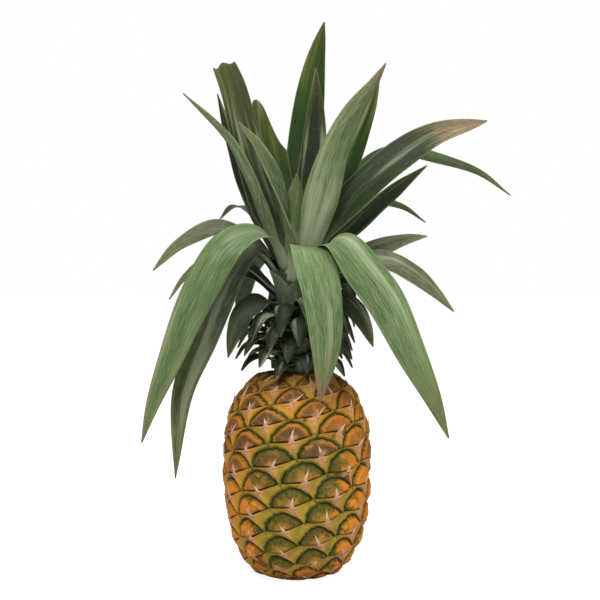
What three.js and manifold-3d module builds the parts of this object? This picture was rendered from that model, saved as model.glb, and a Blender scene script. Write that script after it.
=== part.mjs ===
// A ripe pineapple with its leafy crown, standing on its cut base.
// Millimetres, +Z up. The origin is the centre of the flat base, -Y is the front and +X the right.
// The rind is one skin of raised eyes on a spiral. The crown is a short stem that carries a collar of
// small recurved leaves, and each long leaf is a channelled blade that springs from that stem.

import * as THREE from "three";
import Module from "manifold-3d";

const wasm = await Module();
wasm.setup();

// Fruit
const FRUIT_RADIUS = 56.8; // mean surface at the widest height, between groove and dome
const FRUIT_HEIGHT = 165;
const WIDEST_HEIGHT = 95;
const LOWER = { reach: 97, power: 2.7 }; // the barrel below its widest height, a superellipse
const UPPER = { reach: 73, power: 2.5 }; // and above it
const POLE_RADIUS = 9; // the eye spiral stops here, on the flat base and on the flat top

// Eyes, placed by the golden angle
const GOLDEN_ANGLE = 137.508;
const EYE_RISE = 1.5; // climb from one eye to the next round the spiral, at the widest height
const SPIRALS = { shallow: 8, steep: 13 };
const FRONT_EYE = { height: 84.5, azimuth: -84.7 };
const GROOVE_DEPTH = 2.0;
const DOME_HEIGHT = 1.9;
const DOME_BULGE = 0.13; // how far a dome's upper edges bow into the eyes above, as a share of the step
const SHOULDER = 0.74; // the shoulder of a dome, as a share of the way to its rim
const SHOULDER_HEIGHTS = [0.9, 1, 0.75, 0.45, 0.35, 0.45, 0.75, 1]; // round from the top, shares of the dome
const BRACT = { eye: -2.2, swing: 0, relief: 2.6 };
const SPINE_FOOT = { swing: 2.1, relief: 1.9 };
const SPINE_TIP = { eye: 4.6, swing: 0.8, relief: 4.2 };
const RELIEF_FADE = { none: 20, full: 33 }; // radii between which the relief grows
const FRONT_SWELL = 11.5; // degrees: the eyes have grown wider at the front than at the back
const LEAN = { level: 99, bend: 0.005 }; // the spirals lean more the further they are below the level

// Crown stem, its collar of small recurved leaves, and the broad leaf bases that sheathe it above them
const STEM_RADII = [
  { height: 165.4, radius: 18 },
  { height: 185, radius: 19 },
  { height: 215, radius: 16.5 },
  { height: 245, radius: 12 },
  { height: 266, radius: 7.5 },
  { height: 278, radius: 2 },
];
const STEM_SIDES = 12;
const COLLAR = {
  count: 40, start: -110, sunk: 3, bottom: 167.5, top: 212,
  shortest: 36, longest: 42, narrow: 19, wide: 22, channel: 0.25, outer: -0.34,
  crest: { out: 0.36, low: 0.2, high: 0.34 }, // the top of a leaf's curve; all are shares of its length
  slope: { out: 0.66, share: 0.7 },
  tip: { out: 0.84, low: -0.16, high: -0.3 },
  sway: { step: 2.4, length: 0.07, tip: 0.06, swing: 6 }, // how the leaves differ from one to the next
};
const SHEATH = {
  count: 10, start: -96, sunk: 2, bottom: 206, top: 236, length: 30, width: 25, channel: 0.45,
  places: [[0, 0], [0.1, 0.36], [0.2, 0.7], [0.36, 1]], // outwards and upwards, as shares of the length
};
const SMALL_RINGS = 4;

// Blades
const BLADE_RINGS = 11;
const CURVE_TENSION = 0.5;
const FINE_STEPS = 80; // steps along a blade's curve, from which its rings are picked
const ROUNDING = 1e-9;
const BEND_WEIGHT = 0.16; // rings crowd where a blade bends: share of the length that one radian counts as
const BLADE_THICKNESS = 1.7;
const EDGE_THICKNESS = 0.75;
const RIB_GROWTH = 0.1; // how fast the midrib thickens with the half width
const ROOT_WIDTH = 0.55; // width at the root, as a share of the widest
const WIDEST_AT = 0.33; // share of the length at which a blade is widest
const TAPER = { power: 2.2, curve: 0.85 };
const UNFOLD = { from: 0.1, to: 0.4 }; // shares of the length between which a drooping blade's edges turn
const BLUNT_TAPER = 0.32;
const TIP_WIDTH = 1.2;
const CLEARANCE = 0.35; // gap between neighbouring pieces
const SLIVER = 0.04; // facets this flat are merged after a cut

// The long leaves, from the heart of the crown outwards. Each follows a smooth curve through its points.
// faces: the azimuth that the underside of its root faces. channel: how deep its edges fold up, as a share
// of the half width. outer: the same past its bend, where the edges of a drooping leaf fold down instead.
// twist: degrees by the tip. taper: how late it narrows. blunt: the tip is broken off.
const LEAVES = {
  leaf_heart: {
    faces: -88, width: 22, channel: 0.35,
    path: [[-1, -7, 266], [-2, -10, 293], [-1, -11, 308], [0, -11, 323]],
  },
  leaf_upright_back_inner: {
    faces: 86, width: 27, channel: 0.25,
    path: [[6, 4, 268], [12, 7, 318], [15, 9, 366], [15, 9, 408]],
  },
  leaf_upright_left_inner: {
    faces: 112, width: 33, channel: 0.5, blunt: true,
    path: [[-6, 6, 262], [-19, 15, 310], [-25, 20, 350], [-28, 21, 382]],
  },
  leaf_upright_front_broad: {
    faces: -80, width: 33, channel: 0.2, twist: 16,
    path: [[8, -9, 256], [19, -23, 298], [30, -29, 338], [45, -31, 370], [60, -28, 392], [70, -24, 409]],
  },
  leaf_upright_right_behind: {
    faces: 74, width: 29, channel: 0.25,
    path: [[11, 2, 262], [29, 7, 306], [46, 8, 345], [58, 6, 374], [66, 4, 399]],
  },
  leaf_upright_back_tall: {
    faces: 84, width: 31, channel: 0.22, taper: 3.4,
    path: [[4, 9, 260], [5, 19, 312], [8, 25, 360], [14, 26, 408], [22, 22, 446]],
  },
  leaf_upright_left_blunt: {
    faces: 116, width: 31, channel: 0.3, blunt: true,
    path: [[-10, 0, 256], [-29, 1, 305], [-42, 3, 350], [-52, 5, 389], [-60, 4, 410]],
  },
  leaf_upright_front_left: {
    faces: -104, width: 23, channel: 0.5, twist: -135,
    path: [[-6, -14, 243], [-10, -22, 280], [-18, -27, 313], [-29, -26, 340], [-46, -22, 363]],
  },
  leaf_slim_left: {
    faces: -122, width: 14, channel: 0.35,
    path: [[-12, -4, 252], [-27, -14, 290], [-40, -20, 324], [-57, -20, 353], [-90, -15, 386]],
  },
  leaf_arch_right_broad: {
    faces: 34, width: 33, channel: 0.28, twist: 34, taper: 3.6,
    path: [[11, -2, 256], [34, -5, 288], [60, -7, 316], [83, -6, 336], [112, -3, 354], [152, 1, 365]],
  },
  leaf_upright_left_outer: {
    faces: 150, width: 24, channel: 0.3, taper: 3.4,
    path: [[-12, 8, 250], [-37, 25, 292], [-54, 32, 342], [-65, 33, 389]],
  },
  leaf_arch_right_under: {
    faces: 24, width: 29, channel: 0.35, twist: 30,
    path: [[14, 4, 244], [41, 10, 272], [64, 14, 294], [85, 16, 313], [105, 17, 330]],
  },
  leaf_arch_far_right: {
    faces: 40, width: 18, channel: 0.3, twist: -84,
    path: [
      [8, 12, 256], [33, 30, 302], [58, 40, 333], [84, 43, 342],
      [115, 42, 336], [148, 37, 325], [174, 32, 306],
    ],
  },
  leaf_arch_right_slim: {
    faces: 42, width: 13, channel: 0.3, twist: -84,
    path: [[12, 12, 246], [37, 27, 281], [62, 32, 299], [85, 33, 297], [105, 32, 284]],
  },
  leaf_spread_right_small: {
    faces: 18, width: 25, channel: 0.4, twist: 58,
    path: [[16, 6, 236], [42, 17, 251], [70, 25, 263], [90, 27, 270], [106, 27, 273]],
  },
  leaf_spread_right_low: {
    faces: 4, width: 28, channel: 0.35, twist: 52,
    path: [[16, -3, 234], [42, -6, 248], [70, -8, 251], [91, -9, 242], [108, -9, 229], [125, -9, 213]],
  },
  leaf_spread_left_high: {
    faces: 165, width: 24, channel: 0.35, twist: -58,
    path: [[-14, 6, 244], [-38, 16, 265], [-60, 23, 277], [-74, 24, 276], [-97, 24, 264], [-117, 22, 245]],
  },
  leaf_spread_left_low: {
    faces: 172, width: 17, channel: 0.4, twist: -40,
    path: [[-17, 3, 228], [-42, 9, 249], [-66, 12, 254], [-88, 10, 241], [-103, 8, 222]],
  },
  leaf_droop_left_inner: {
    faces: -164, width: 29, channel: 0.25, twist: -66, outer: -0.2,
    path: [
      [-14, -3, 238], [-29, -9, 260], [-41, -14, 257], [-60, -20, 228],
      [-75, -25, 190], [-91, -27, 146], [-96, -26, 82],
    ],
  },
  leaf_droop_left_front: {
    faces: -144, width: 34, channel: 0.3, twist: -70, outer: -0.34,
    path: [
      [-11, -11, 246], [-22, -22, 271], [-40, -34, 275], [-60, -45, 262],
      [-80, -51, 224], [-98, -52, 178], [-112, -50, 142], [-121, -46, 112],
    ],
  },
  leaf_droop_front: {
    faces: -78, width: 38, channel: 0.22, outer: -0.16, taper: 3.4,
    path: [
      [2, -15, 236], [7, -27, 260], [11, -40, 263], [17, -54, 246],
      [22, -62, 218], [23, -65, 184], [18, -64, 146],
    ],
  },
  leaf_droop_right_front: {
    faces: -46, width: 38, channel: 0.25, twist: 62, outer: -0.26,
    path: [
      [14, -8, 244], [21, -20, 263], [34, -32, 268], [51, -43, 250],
      [70, -50, 223], [88, -54, 184], [105, -54, 148], [118, -51, 116],
    ],
  },
  leaf_short_left: {
    faces: -150, width: 24, channel: 0.35, twist: -46, outer: -0.2,
    path: [[-15, -8, 214], [-28, -19, 223], [-41, -27, 216], [-49, -33, 198], [-54, -36, 178]],
  },
  leaf_short_right: {
    faces: -26, width: 24, channel: 0.35, twist: 46, outer: -0.2,
    path: [[16, -7, 216], [31, -15, 226], [44, -21, 219], [54, -25, 203], [60, -27, 186]],
  },
  leaf_upright_back_hidden: {
    faces: 72, width: 24, channel: 0.3,
    path: [[4, 13, 248], [11, 33, 305], [15, 44, 348], [18, 48, 386]],
  },
  leaf_upright_left_hidden: {
    faces: 114, width: 24, channel: 0.3,
    path: [[-8, 12, 246], [-19, 33, 300], [-27, 44, 335], [-32, 48, 364]],
  },
  leaf_spread_back_right: {
    faces: 54, width: 22, channel: 0.3,
    path: [[9, 14, 240], [25, 37, 272], [38, 57, 292], [51, 74, 299], [61, 87, 294]],
  },
  leaf_spread_back_left: {
    faces: 134, width: 22, channel: 0.3,
    path: [[-10, 14, 242], [-26, 37, 276], [-40, 55, 293], [-53, 70, 297], [-65, 82, 287]],
  },
  leaf_droop_back: {
    faces: 92, width: 30, channel: 0.25, outer: -0.2,
    path: [[-1, 16, 240], [-1, 36, 270], [-4, 60, 274], [-8, 80, 244], [-10, 90, 198], [-8, 93, 148]],
  },
  leaf_droop_back_right: {
    faces: 62, width: 27, channel: 0.25, outer: -0.2,
    path: [[9, 14, 230], [19, 33, 254], [30, 51, 262], [39, 66, 250], [45, 75, 222], [48, 79, 196]],
  },
  leaf_droop_back_left: {
    faces: 122, width: 27, channel: 0.25, outer: -0.2,
    path: [[-10, 13, 230], [-20, 32, 254], [-31, 52, 258], [-41, 68, 244], [-47, 78, 218], [-50, 83, 190]],
  },
  leaf_droop_left_behind: {
    faces: 152, width: 24, channel: 0.3, twist: -30, outer: -0.2,
    path: [[-15, 9, 222], [-36, 21, 241], [-57, 30, 243], [-75, 37, 226], [-87, 41, 202], [-94, 43, 172]],
  },
  leaf_droop_right_behind: {
    faces: 26, width: 24, channel: 0.3, twist: 30, outer: -0.2,
    path: [[15, 8, 220], [34, 18, 237], [54, 27, 237], [69, 34, 218], [80, 38, 188]],
  },
  leaf_low_back_right: {
    faces: 72, width: 22, channel: 0.3, outer: -0.2,
    path: [[5, 16, 218], [10, 34, 234], [15, 53, 230], [18, 68, 208], [20, 76, 178]],
  },
  leaf_low_back_left: {
    faces: 106, width: 22, channel: 0.3, outer: -0.2,
    path: [[-5, 16, 214], [-10, 34, 230], [-15, 53, 225], [-19, 67, 202], [-21, 74, 172]],
  },
};

const FINISH = {
  rind: { color: 0xc98a2b, roughness: 0.55, metalness: 0 },
  leaf: { color: 0x5c7a48, roughness: 0.5, metalness: 0 },
  collar: { color: 0x2f4632, roughness: 0.55, metalness: 0 },
};

const radians = THREE.MathUtils.degToRad;
const { smoothstep, lerp } = THREE.MathUtils;

// A solid from a list of points and a list of triangles, wound outwards
function solidOf(points, triangles) {
  return new wasm.Manifold(
    new wasm.Mesh({
      numProp: 3,
      vertProperties: new Float32Array(points.flat()),
      triVerts: new Uint32Array(triangles.flat()),
    }),
  );
}

function geometryOf(solid) {
  const mesh = solid.getMesh();
  const geometry = new THREE.BufferGeometry();
  geometry.setAttribute("position", new THREE.BufferAttribute(new Float32Array(mesh.vertProperties), 3));
  geometry.setIndex(new THREE.BufferAttribute(new Uint32Array(mesh.triVerts), 1));
  geometry.computeVertexNormals();
  return geometry;
}

function largestPiece(solid) {
  const pieces = solid.decompose().sort((a, b) => b.volume() - a.volume());
  return pieces[0].simplify(SLIVER);
}

// A solid through rings of points, each ring anticlockwise seen from the far end. cap lists the triangles
// of the first end. leansBack tells which strips are split along the other diagonal.
function loft(rings, cap, leansBack = () => false) {
  const size = rings[0].length;
  const last = (rings.length - 1) * size;
  const triangles = [];
  for (let i = 0; i < rings.length - 1; i++)
    for (let j = 0; j < size; j++) {
      const a = i * size + j;
      const b = i * size + ((j + 1) % size);
      const [c, d] = [b + size, a + size];
      if (leansBack(j)) triangles.push([a, b, d], [b, c, d]);
      else triangles.push([a, b, c], [a, c, d]);
    }
  for (const [a, b, c] of cap) triangles.push([a, b, c], [last + a, last + c, last + b]);
  return solidOf(rings.flat(), triangles);
}

// The barrel's outline, from the middle of the base round the side to the middle of the top
function barrelRadius(height) {
  const { reach, power } = height < WIDEST_HEIGHT ? LOWER : UPPER;
  const share = Math.abs(height - WIDEST_HEIGHT) / reach;
  return FRUIT_RADIUS * Math.pow(1 - Math.pow(share, power), 1 / power);
}

function barrelOutline() {
  const flatSteps = 30;
  const sideSteps = 1200;
  const points = [];
  for (let i = 0; i < flatSteps; i++)
    points.push({ r: lerp(POLE_RADIUS, barrelRadius(0), i / flatSteps), z: 0 });
  for (let i = 0; i <= sideSteps; i++) {
    const z = (FRUIT_HEIGHT * (1 - Math.cos((Math.PI * i) / sideSteps))) / 2;
    points.push({ r: barrelRadius(z), z });
  }
  for (let i = 1; i <= flatSteps; i++)
    points.push({ r: lerp(barrelRadius(FRUIT_HEIGHT), POLE_RADIUS, i / flatSteps), z: FRUIT_HEIGHT });
  return points;
}

// The outline with each point's turn: how many eyes of the spiral start below it
function outlineWithTurns() {
  const points = barrelOutline();
  points[0].turn = 0;
  for (let i = 1; i < points.length; i++) {
    const [from, to] = [points[i - 1], points[i]];
    const rise = EYE_RISE * Math.sqrt(to.r / FRUIT_RADIUS);
    to.turn = from.turn + Math.hypot(to.r - from.r, to.z - from.z) / rise;
  }
  return points;
}

const outline = outlineWithTurns();
const frontTurn = outline.find(({ z }) => z >= FRONT_EYE.height).turn;

function outlineAt(turn) {
  const found = outline.findIndex((point) => point.turn > turn);
  const upper = found < 0 ? outline.length - 1 : Math.max(1, found);
  const [a, b] = [outline[upper - 1], outline[upper]];
  const share = (turn - a.turn) / (b.turn - a.turn);
  const length = Math.hypot(b.r - a.r, b.z - a.z);
  return {
    r: lerp(a.r, b.r, share),
    z: lerp(a.z, b.z, share),
    outward: { r: (b.z - a.z) / length, z: (a.r - b.r) / length },
  };
}

// A place on the rind. eye counts along the spiral from the front eye, azimuth is in degrees, relief is a
// height over the mean surface that fades on the flat ends, and grow moves the whole rind outwards.
function rindPoint(eye, azimuth, relief, grow) {
  const at = outlineAt(eye + frontTurn);
  const lift = relief * smoothstep(at.r, RELIEF_FADE.none, RELIEF_FADE.full) + grow;
  const r = at.r + lift * at.outward.r;
  const turned = radians(grownAzimuth(azimuth, at.z));
  return [r * Math.cos(turned), r * Math.sin(turned), at.z + lift * at.outward.z];
}

// Where an azimuth of the even spiral has ended up as the fruit grew
function grownAzimuth(azimuth, height) {
  const swell = FRONT_SWELL * Math.sin(radians(azimuth - FRONT_EYE.azimuth));
  const lean = LEAN.bend * ((height - LEAN.level) ** 2 - (FRONT_EYE.height - LEAN.level) ** 2);
  return azimuth + swell + lean;
}

const azimuthOf = (eye) => FRONT_EYE.azimuth - GOLDEN_ANGLE * eye;

// The step from an eye to its neighbour on a spiral, round the shorter way
function stepOf(eyes) {
  const swing = THREE.MathUtils.euclideanModulo(180 - GOLDEN_ANGLE * eyes, 360) - 180;
  return { eye: eyes, swing };
}

const SHALLOW = stepOf(SPIRALS.shallow);
const STEEP = stepOf(SPIRALS.steep);
const between = (shallow, steep) => ({
  eye: shallow * SHALLOW.eye + steep * STEEP.eye,
  swing: shallow * SHALLOW.swing + steep * STEEP.swing,
});

// The rim of an eye, anticlockwise seen from outside, as steps from its middle. An eye is a diamond between
// two neighbours on each spiral. Its four corners and four edges are each named after the eye they top.
const { shallow: FEW, steep: MANY } = SPIRALS;
const BOW = DOME_BULGE;
const RIM = [
  { ...between(0.5, 0.5), kind: "corner", owner: 0 },
  { ...between(0.5 + BOW, 0), kind: "left edge", owner: 0 },
  { ...between(0.5, -0.5), kind: "corner", owner: -MANY },
  { ...between(0, -0.5 + BOW), kind: "right edge", owner: -MANY },
  { ...between(-0.5, -0.5), kind: "corner", owner: -FEW - MANY },
  { ...between(-0.5 + BOW, 0), kind: "left edge", owner: -FEW },
  { ...between(-0.5, 0.5), kind: "corner", owner: -FEW },
  { ...between(0, 0.5 + BOW), kind: "right edge", owner: 0 },
];
const TALLEST_STEP = RIM[0].eye;

function rindSurface(grow) {
  const points = [];
  const triangles = [];
  const rimIndex = new Map();
  const add = (eye, step, relief) =>
    points.push(rindPoint(eye + step.eye, azimuthOf(eye) + step.swing, relief, grow)) - 1;

  function rimOf(eye) {
    return RIM.map((step) => {
      const key = step.kind + (eye + step.owner);
      if (!rimIndex.has(key)) rimIndex.set(key, add(eye, step, -GROOVE_DEPTH));
      return rimIndex.get(key);
    });
  }

  function shoulderOf(eye) {
    return RIM.map(({ eye: up, swing }, i) =>
      add(eye, { eye: SHOULDER * up, swing: SHOULDER * swing }, DOME_HEIGHT * SHOULDER_HEIGHTS[i]),
    );
  }

  const lastEye = outline[outline.length - 1].turn - frontTurn - TALLEST_STEP;
  for (let eye = Math.ceil(TALLEST_STEP - frontTurn); eye <= lastEye; eye++) {
    const rim = rimOf(eye);
    const shoulder = shoulderOf(eye);
    for (let i = 0; i < RIM.length; i++) {
      const next = (i + 1) % RIM.length;
      triangles.push([rim[i], rim[next], shoulder[i]], [rim[next], shoulder[next], shoulder[i]]);
    }
    const [top, topLeft, left, bottomLeft, bottom, bottomRight, right, topRight] = shoulder;
    const base = add(eye, BRACT, BRACT.relief);
    const footLeft = add(eye, { eye: 0, swing: -SPINE_FOOT.swing }, SPINE_FOOT.relief);
    const footRight = add(eye, { eye: 0, swing: SPINE_FOOT.swing }, SPINE_FOOT.relief);
    const tip = add(eye, SPINE_TIP, SPINE_TIP.relief);
    triangles.push(
      [top, topLeft, tip], [topLeft, footLeft, tip], [topLeft, left, footLeft], [left, bottomLeft, footLeft],
      [bottomLeft, base, footLeft], [bottomLeft, bottom, base], [bottom, bottomRight, base],
      [bottomRight, footRight, base], [bottomRight, right, footRight], [right, topRight, footRight],
      [topRight, tip, footRight], [topRight, top, tip], [footLeft, base, tip], [base, footRight, tip],
    );
  }
  return { points, triangles };
}

// The first and the last eyes leave a ragged hole in the flat base and in the flat top. A fan closes each.
function closeEnds({ points, triangles }, grow) {
  const open = new Set();
  for (const [a, b, c] of triangles)
    for (const [from, to] of [[a, b], [b, c], [c, a]]) {
      const reverse = to + " " + from;
      if (open.has(reverse)) open.delete(reverse);
      else open.add(from + " " + to);
    }
  const base = points.push([0, 0, -grow]) - 1;
  const top = points.push([0, 0, FRUIT_HEIGHT + grow]) - 1;
  for (const edge of open) {
    const [from, to] = edge.split(" ").map(Number);
    triangles.push([to, from, points[from][2] < WIDEST_HEIGHT ? base : top]);
  }
}

function fruit(grow = 0) {
  const surface = rindSurface(grow);
  closeEnds(surface, grow);
  return solidOf(surface.points, surface.triangles);
}

// Fine steps along a blade's curve, with its side direction carried along without spin. Most of a twist
// comes in the lower half of the blade.
function bladeSteps(blade) {
  const points = blade.path.map((point) => new THREE.Vector3(...point));
  const curve = new THREE.CatmullRomCurve3(points, false, "catmullrom", CURVE_TENSION);
  const facing = radians(blade.faces);
  const side = new THREE.Vector3(-Math.sin(facing), Math.cos(facing), 0);
  const steps = [];
  for (let i = 0; i <= FINE_STEPS; i++) {
    const share = i / FINE_STEPS;
    const along = curve.getTangentAt(share);
    side.addScaledVector(along, -side.dot(along)).normalize();
    const twist = radians((blade.twist ?? 0) * share * (2 - share));
    const turned = side.clone().applyAxisAngle(along, twist);
    const inner = along.clone().cross(turned);
    const bend = i > 0 ? steps[i - 1].bend + steps[i - 1].along.angleTo(along) : 0;
    steps.push({ share, along, inner, bend, side: turned, centre: curve.getPointAt(share) });
  }
  return steps;
}

// The steps that carry a ring, spread evenly over length and bend together
function bladeFrames(blade, rings) {
  const steps = bladeSteps(blade);
  const measure = ({ share, bend }) => share + BEND_WEIGHT * bend;
  const whole = measure(steps[FINE_STEPS]);
  return Array.from({ length: rings }, (_, i) => {
    const wanted = (whole * i) / (rings - 1);
    return steps.find((step) => measure(step) >= wanted - ROUNDING);
  });
}

function bladeWidth(blade, share) {
  const grown = ROOT_WIDTH + (1 - ROOT_WIDTH) * smoothstep(share, 0, WIDEST_AT);
  const end = Math.pow(share, blade.taper ?? TAPER.power);
  const taper = blade.blunt ? 1 - BLUNT_TAPER * end : Math.pow(1 - end, TAPER.curve);
  return Math.max(TIP_WIDTH, blade.width * grown * taper);
}

// A ring is six points: edge, midrib and edge on the inner face, then back along the outer face
const BLADE_CAP = [[0, 5, 4], [0, 4, 1], [1, 4, 3], [1, 3, 2]];

function bladeRing(blade, { share, along, inner, side, centre }, grow) {
  const reach = bladeWidth(blade, share) / 2 + grow;
  const start = centre.clone().addScaledVector(along, share === 0 ? -grow : share === 1 ? grow : 0);
  const rib = Math.min(BLADE_THICKNESS, EDGE_THICKNESS + RIB_GROWTH * reach) / 2 + grow;
  const edge = EDGE_THICKNESS / 2 + grow;
  const turnedOver = smoothstep(share, UNFOLD.from, UNFOLD.to);
  const lift = lerp(blade.channel, blade.outer ?? blade.channel, turnedOver) * reach;
  const place = (across, up) =>
    start.clone().addScaledVector(side, across).addScaledVector(inner, up).toArray();
  return [
    place(reach, lift + edge), place(0, rib), place(-reach, lift + edge),
    place(-reach, lift - edge), place(0, -rib), place(reach, lift - edge),
  ];
}

// Both faces are split along the same diagonals, so that a waved blade never crosses itself
function bladeSolid(blade, rings, grow = 0) {
  const sections = bladeFrames(blade, rings).map((frame) => bladeRing(blade, frame, grow));
  return loft(sections, BLADE_CAP, (strip) => strip > 2);
}

function stemRadius(height) {
  const upper = STEM_RADII.findIndex((ring) => ring.height >= height);
  const [a, b] = [STEM_RADII[upper - 1], STEM_RADII[upper]];
  return THREE.MathUtils.mapLinear(height, a.height, b.height, a.radius, b.radius);
}

function stemSolid(grow) {
  const rings = STEM_RADII.map(({ height, radius }, level) => {
    const end = level === 0 ? -grow : level === STEM_RADII.length - 1 ? grow : 0;
    return Array.from({ length: STEM_SIDES }, (_, i) => {
      const azimuth = (2 * Math.PI * i) / STEM_SIDES;
      return [(radius + grow) * Math.cos(azimuth), (radius + grow) * Math.sin(azimuth), height + end];
    });
  });
  const cap = Array.from({ length: STEM_SIDES - 2 }, (_, i) => [0, i + 2, i + 1]);
  return loft(rings, cap);
}

// The collar: small recurved leaves by the golden angle, longer and steeper the higher they grow
function collarBlade(i) {
  const { crest, slope, tip, sway } = COLLAR;
  const share = i / (COLLAR.count - 1);
  const azimuth = COLLAR.start - GOLDEN_ANGLE * i;
  const change = Math.sin(sway.step * i);
  const height = lerp(COLLAR.bottom, COLLAR.top, share);
  const length = lerp(COLLAR.shortest, COLLAR.longest, share) * (1 + sway.length * change);
  const rise = lerp(crest.low, crest.high, share);
  const drop = lerp(tip.low, tip.high, share) + sway.tip * change;
  const places = [[0, 0], [crest.out, rise], [slope.out, slope.share * rise], [tip.out, drop]];
  const root = stemRadius(height) - COLLAR.sunk;
  const path = spray(places, { azimuth, height, length, swing: sway.swing * change, root });
  const width = lerp(COLLAR.narrow, COLLAR.wide, share);
  return { path, faces: azimuth, channel: COLLAR.channel, outer: COLLAR.outer, width };
}

// The sheaths: leaf bases that wrap the stem by the same angle and flare outwards at the top
function sheathBlade(i) {
  const share = i / (SHEATH.count - 1);
  const azimuth = SHEATH.start - GOLDEN_ANGLE * i;
  const height = lerp(SHEATH.bottom, SHEATH.top, share);
  const root = stemRadius(height) - SHEATH.sunk;
  const path = spray(SHEATH.places, { azimuth, height, length: SHEATH.length, swing: 0, root });
  return { path, faces: azimuth, channel: SHEATH.channel, width: SHEATH.width };
}

// A path out of the stem: each place is a share of the length outwards and a share of it upwards
function spray(places, { azimuth, height, length, swing, root }) {
  return places.map(([out, up]) => {
    const r = root + out * length;
    const turn = radians(azimuth + swing * out);
    return [r * Math.cos(turn), r * Math.sin(turn), height + up * length];
  });
}

function crownStem(grow = 0) {
  const collar = Array.from({ length: COLLAR.count }, (_, i) => collarBlade(i));
  const sheaths = Array.from({ length: SHEATH.count }, (_, i) => sheathBlade(i));
  const blades = [...collar, ...sheaths].map((blade) => bladeSolid(blade, SMALL_RINGS, grow));
  return wasm.Manifold.union([stemSolid(grow), ...blades]);
}

const material = Object.fromEntries(
  Object.entries(FINISH).map(([name, finish]) => [name, new THREE.MeshStandardMaterial(finish)]),
);

function addPiece(group, name, solid, finish) {
  const mesh = new THREE.Mesh(geometryOf(solid), material[finish]);
  mesh.name = name;
  group.add(mesh);
}

// Each piece is trimmed clear of every piece before it, so that neighbours never touch
function assemble() {
  const group = new THREE.Group();
  const taken = [fruit(CLEARANCE)];
  addPiece(group, "fruit", fruit(), "rind");
  addPiece(group, "crown_stem", largestPiece(crownStem().subtract(taken[0])), "collar");
  taken.push(crownStem(CLEARANCE));
  for (const [name, blade] of Object.entries(LEAVES)) {
    const trimmed = wasm.Manifold.difference([bladeSolid(blade, BLADE_RINGS), ...taken]);
    addPiece(group, name, largestPiece(trimmed), "leaf");
    taken.push(bladeSolid(blade, BLADE_RINGS, CLEARANCE));
  }
  return group;
}

export default assemble();
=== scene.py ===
"""A ripe pineapple with its leafy crown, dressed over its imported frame.

The rind is one skin of raised eyes on a golden-angle spiral, each with a dried spine. The crown is a stem
with a collar of small recurved leaves and leaf bases, and the long leaves are channelled blades. Sizes of
the fruit and the leaves are in millimetres, and turned into metres where a mesh is made. +Z is up, and the
front is -Y.
"""

import logging
import math
from dataclasses import dataclass
from enum import Enum

import bmesh
import bpy
import numpy as np
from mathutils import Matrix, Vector


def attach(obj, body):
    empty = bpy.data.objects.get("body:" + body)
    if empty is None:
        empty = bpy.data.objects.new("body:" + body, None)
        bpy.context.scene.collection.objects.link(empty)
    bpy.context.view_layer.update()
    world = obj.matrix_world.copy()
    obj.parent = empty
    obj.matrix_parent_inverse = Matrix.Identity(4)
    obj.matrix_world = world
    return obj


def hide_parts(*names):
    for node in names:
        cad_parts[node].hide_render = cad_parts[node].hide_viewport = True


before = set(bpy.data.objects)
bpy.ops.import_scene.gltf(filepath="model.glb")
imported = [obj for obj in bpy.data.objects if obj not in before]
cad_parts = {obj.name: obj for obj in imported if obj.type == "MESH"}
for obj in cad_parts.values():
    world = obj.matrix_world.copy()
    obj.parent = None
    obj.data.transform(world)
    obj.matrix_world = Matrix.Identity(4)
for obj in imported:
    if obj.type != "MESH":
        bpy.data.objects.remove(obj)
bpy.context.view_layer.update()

log = logging.getLogger("pineapple")

MM = 0.001
GOLDEN_ANGLE = 137.508  # degrees
RAYS = 40.0  # how many streaks run out from a bract
SHEEN = 0.22  # the specular level of the waxy rind and leaves

Colour = tuple[float, float, float, float]
Point = tuple[float, float, float]
Span = tuple[float, float]
Piece = bpy.types.Object
Socket = bpy.types.NodeSocket
Value = Socket | float | Colour


def paint(red: int, green: int, blue: int) -> Colour:
    """Turns a colour as a screen shows it, 0 to 255, into the shader's linear values.

    Args:
        red: The red share.
        green: The green share.
        blue: The blue share.

    Returns:
        The linear colour with full alpha.
    """
    shares = (level / 255 for level in (red, green, blue))
    return (*(s / 12.92 if s < 0.04045 else ((s + 0.055) / 1.055) ** 2.4 for s in shares), 1.0)


WHITE = paint(255, 255, 255)


def smoothstep(value: np.ndarray, low: float, high: float) -> np.ndarray:
    """Rises smoothly from 0 at low to 1 at high.

    Args:
        value: Where to read the curve.
        low: The end with no share.
        high: The end with the full share.

    Returns:
        The shares, 0 to 1.
    """
    share = np.clip((value - low) / (high - low), 0, 1)
    return share * share * (3 - 2 * share)


def between(ends: Span, share: float) -> float:
    """The number that lies that share of the way between two ends."""
    return ends[0] + (ends[1] - ends[0]) * share


def ridge(offset: np.ndarray, width: float) -> np.ndarray:
    """A smooth ridge, 1 high where the offset is 0 and about twice as wide as the width."""
    return np.exp(-((offset / width) ** 2))


def clear_selection() -> None:
    """Leaves object mode with nothing selected."""
    if bpy.context.object and bpy.context.object.mode != "OBJECT":
        bpy.ops.object.mode_set(mode="OBJECT")
    bpy.ops.object.select_all(action="DESELECT")


def pick(piece: Piece) -> None:
    """Makes a piece the only selected and the active one."""
    clear_selection()
    piece.select_set(True)
    bpy.context.view_layer.objects.active = piece


def settle(piece: Piece) -> None:
    """Puts a piece's place into its mesh, so that its object sits at the origin."""
    pick(piece)
    bpy.ops.object.transform_apply(location=True, rotation=True, scale=True)


def apply_modifiers(piece: Piece) -> None:
    """Applies a piece's modifiers in their order."""
    pick(piece)
    for name in [modifier.name for modifier in piece.modifiers]:
        bpy.ops.object.modifier_apply(modifier=name)


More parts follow.
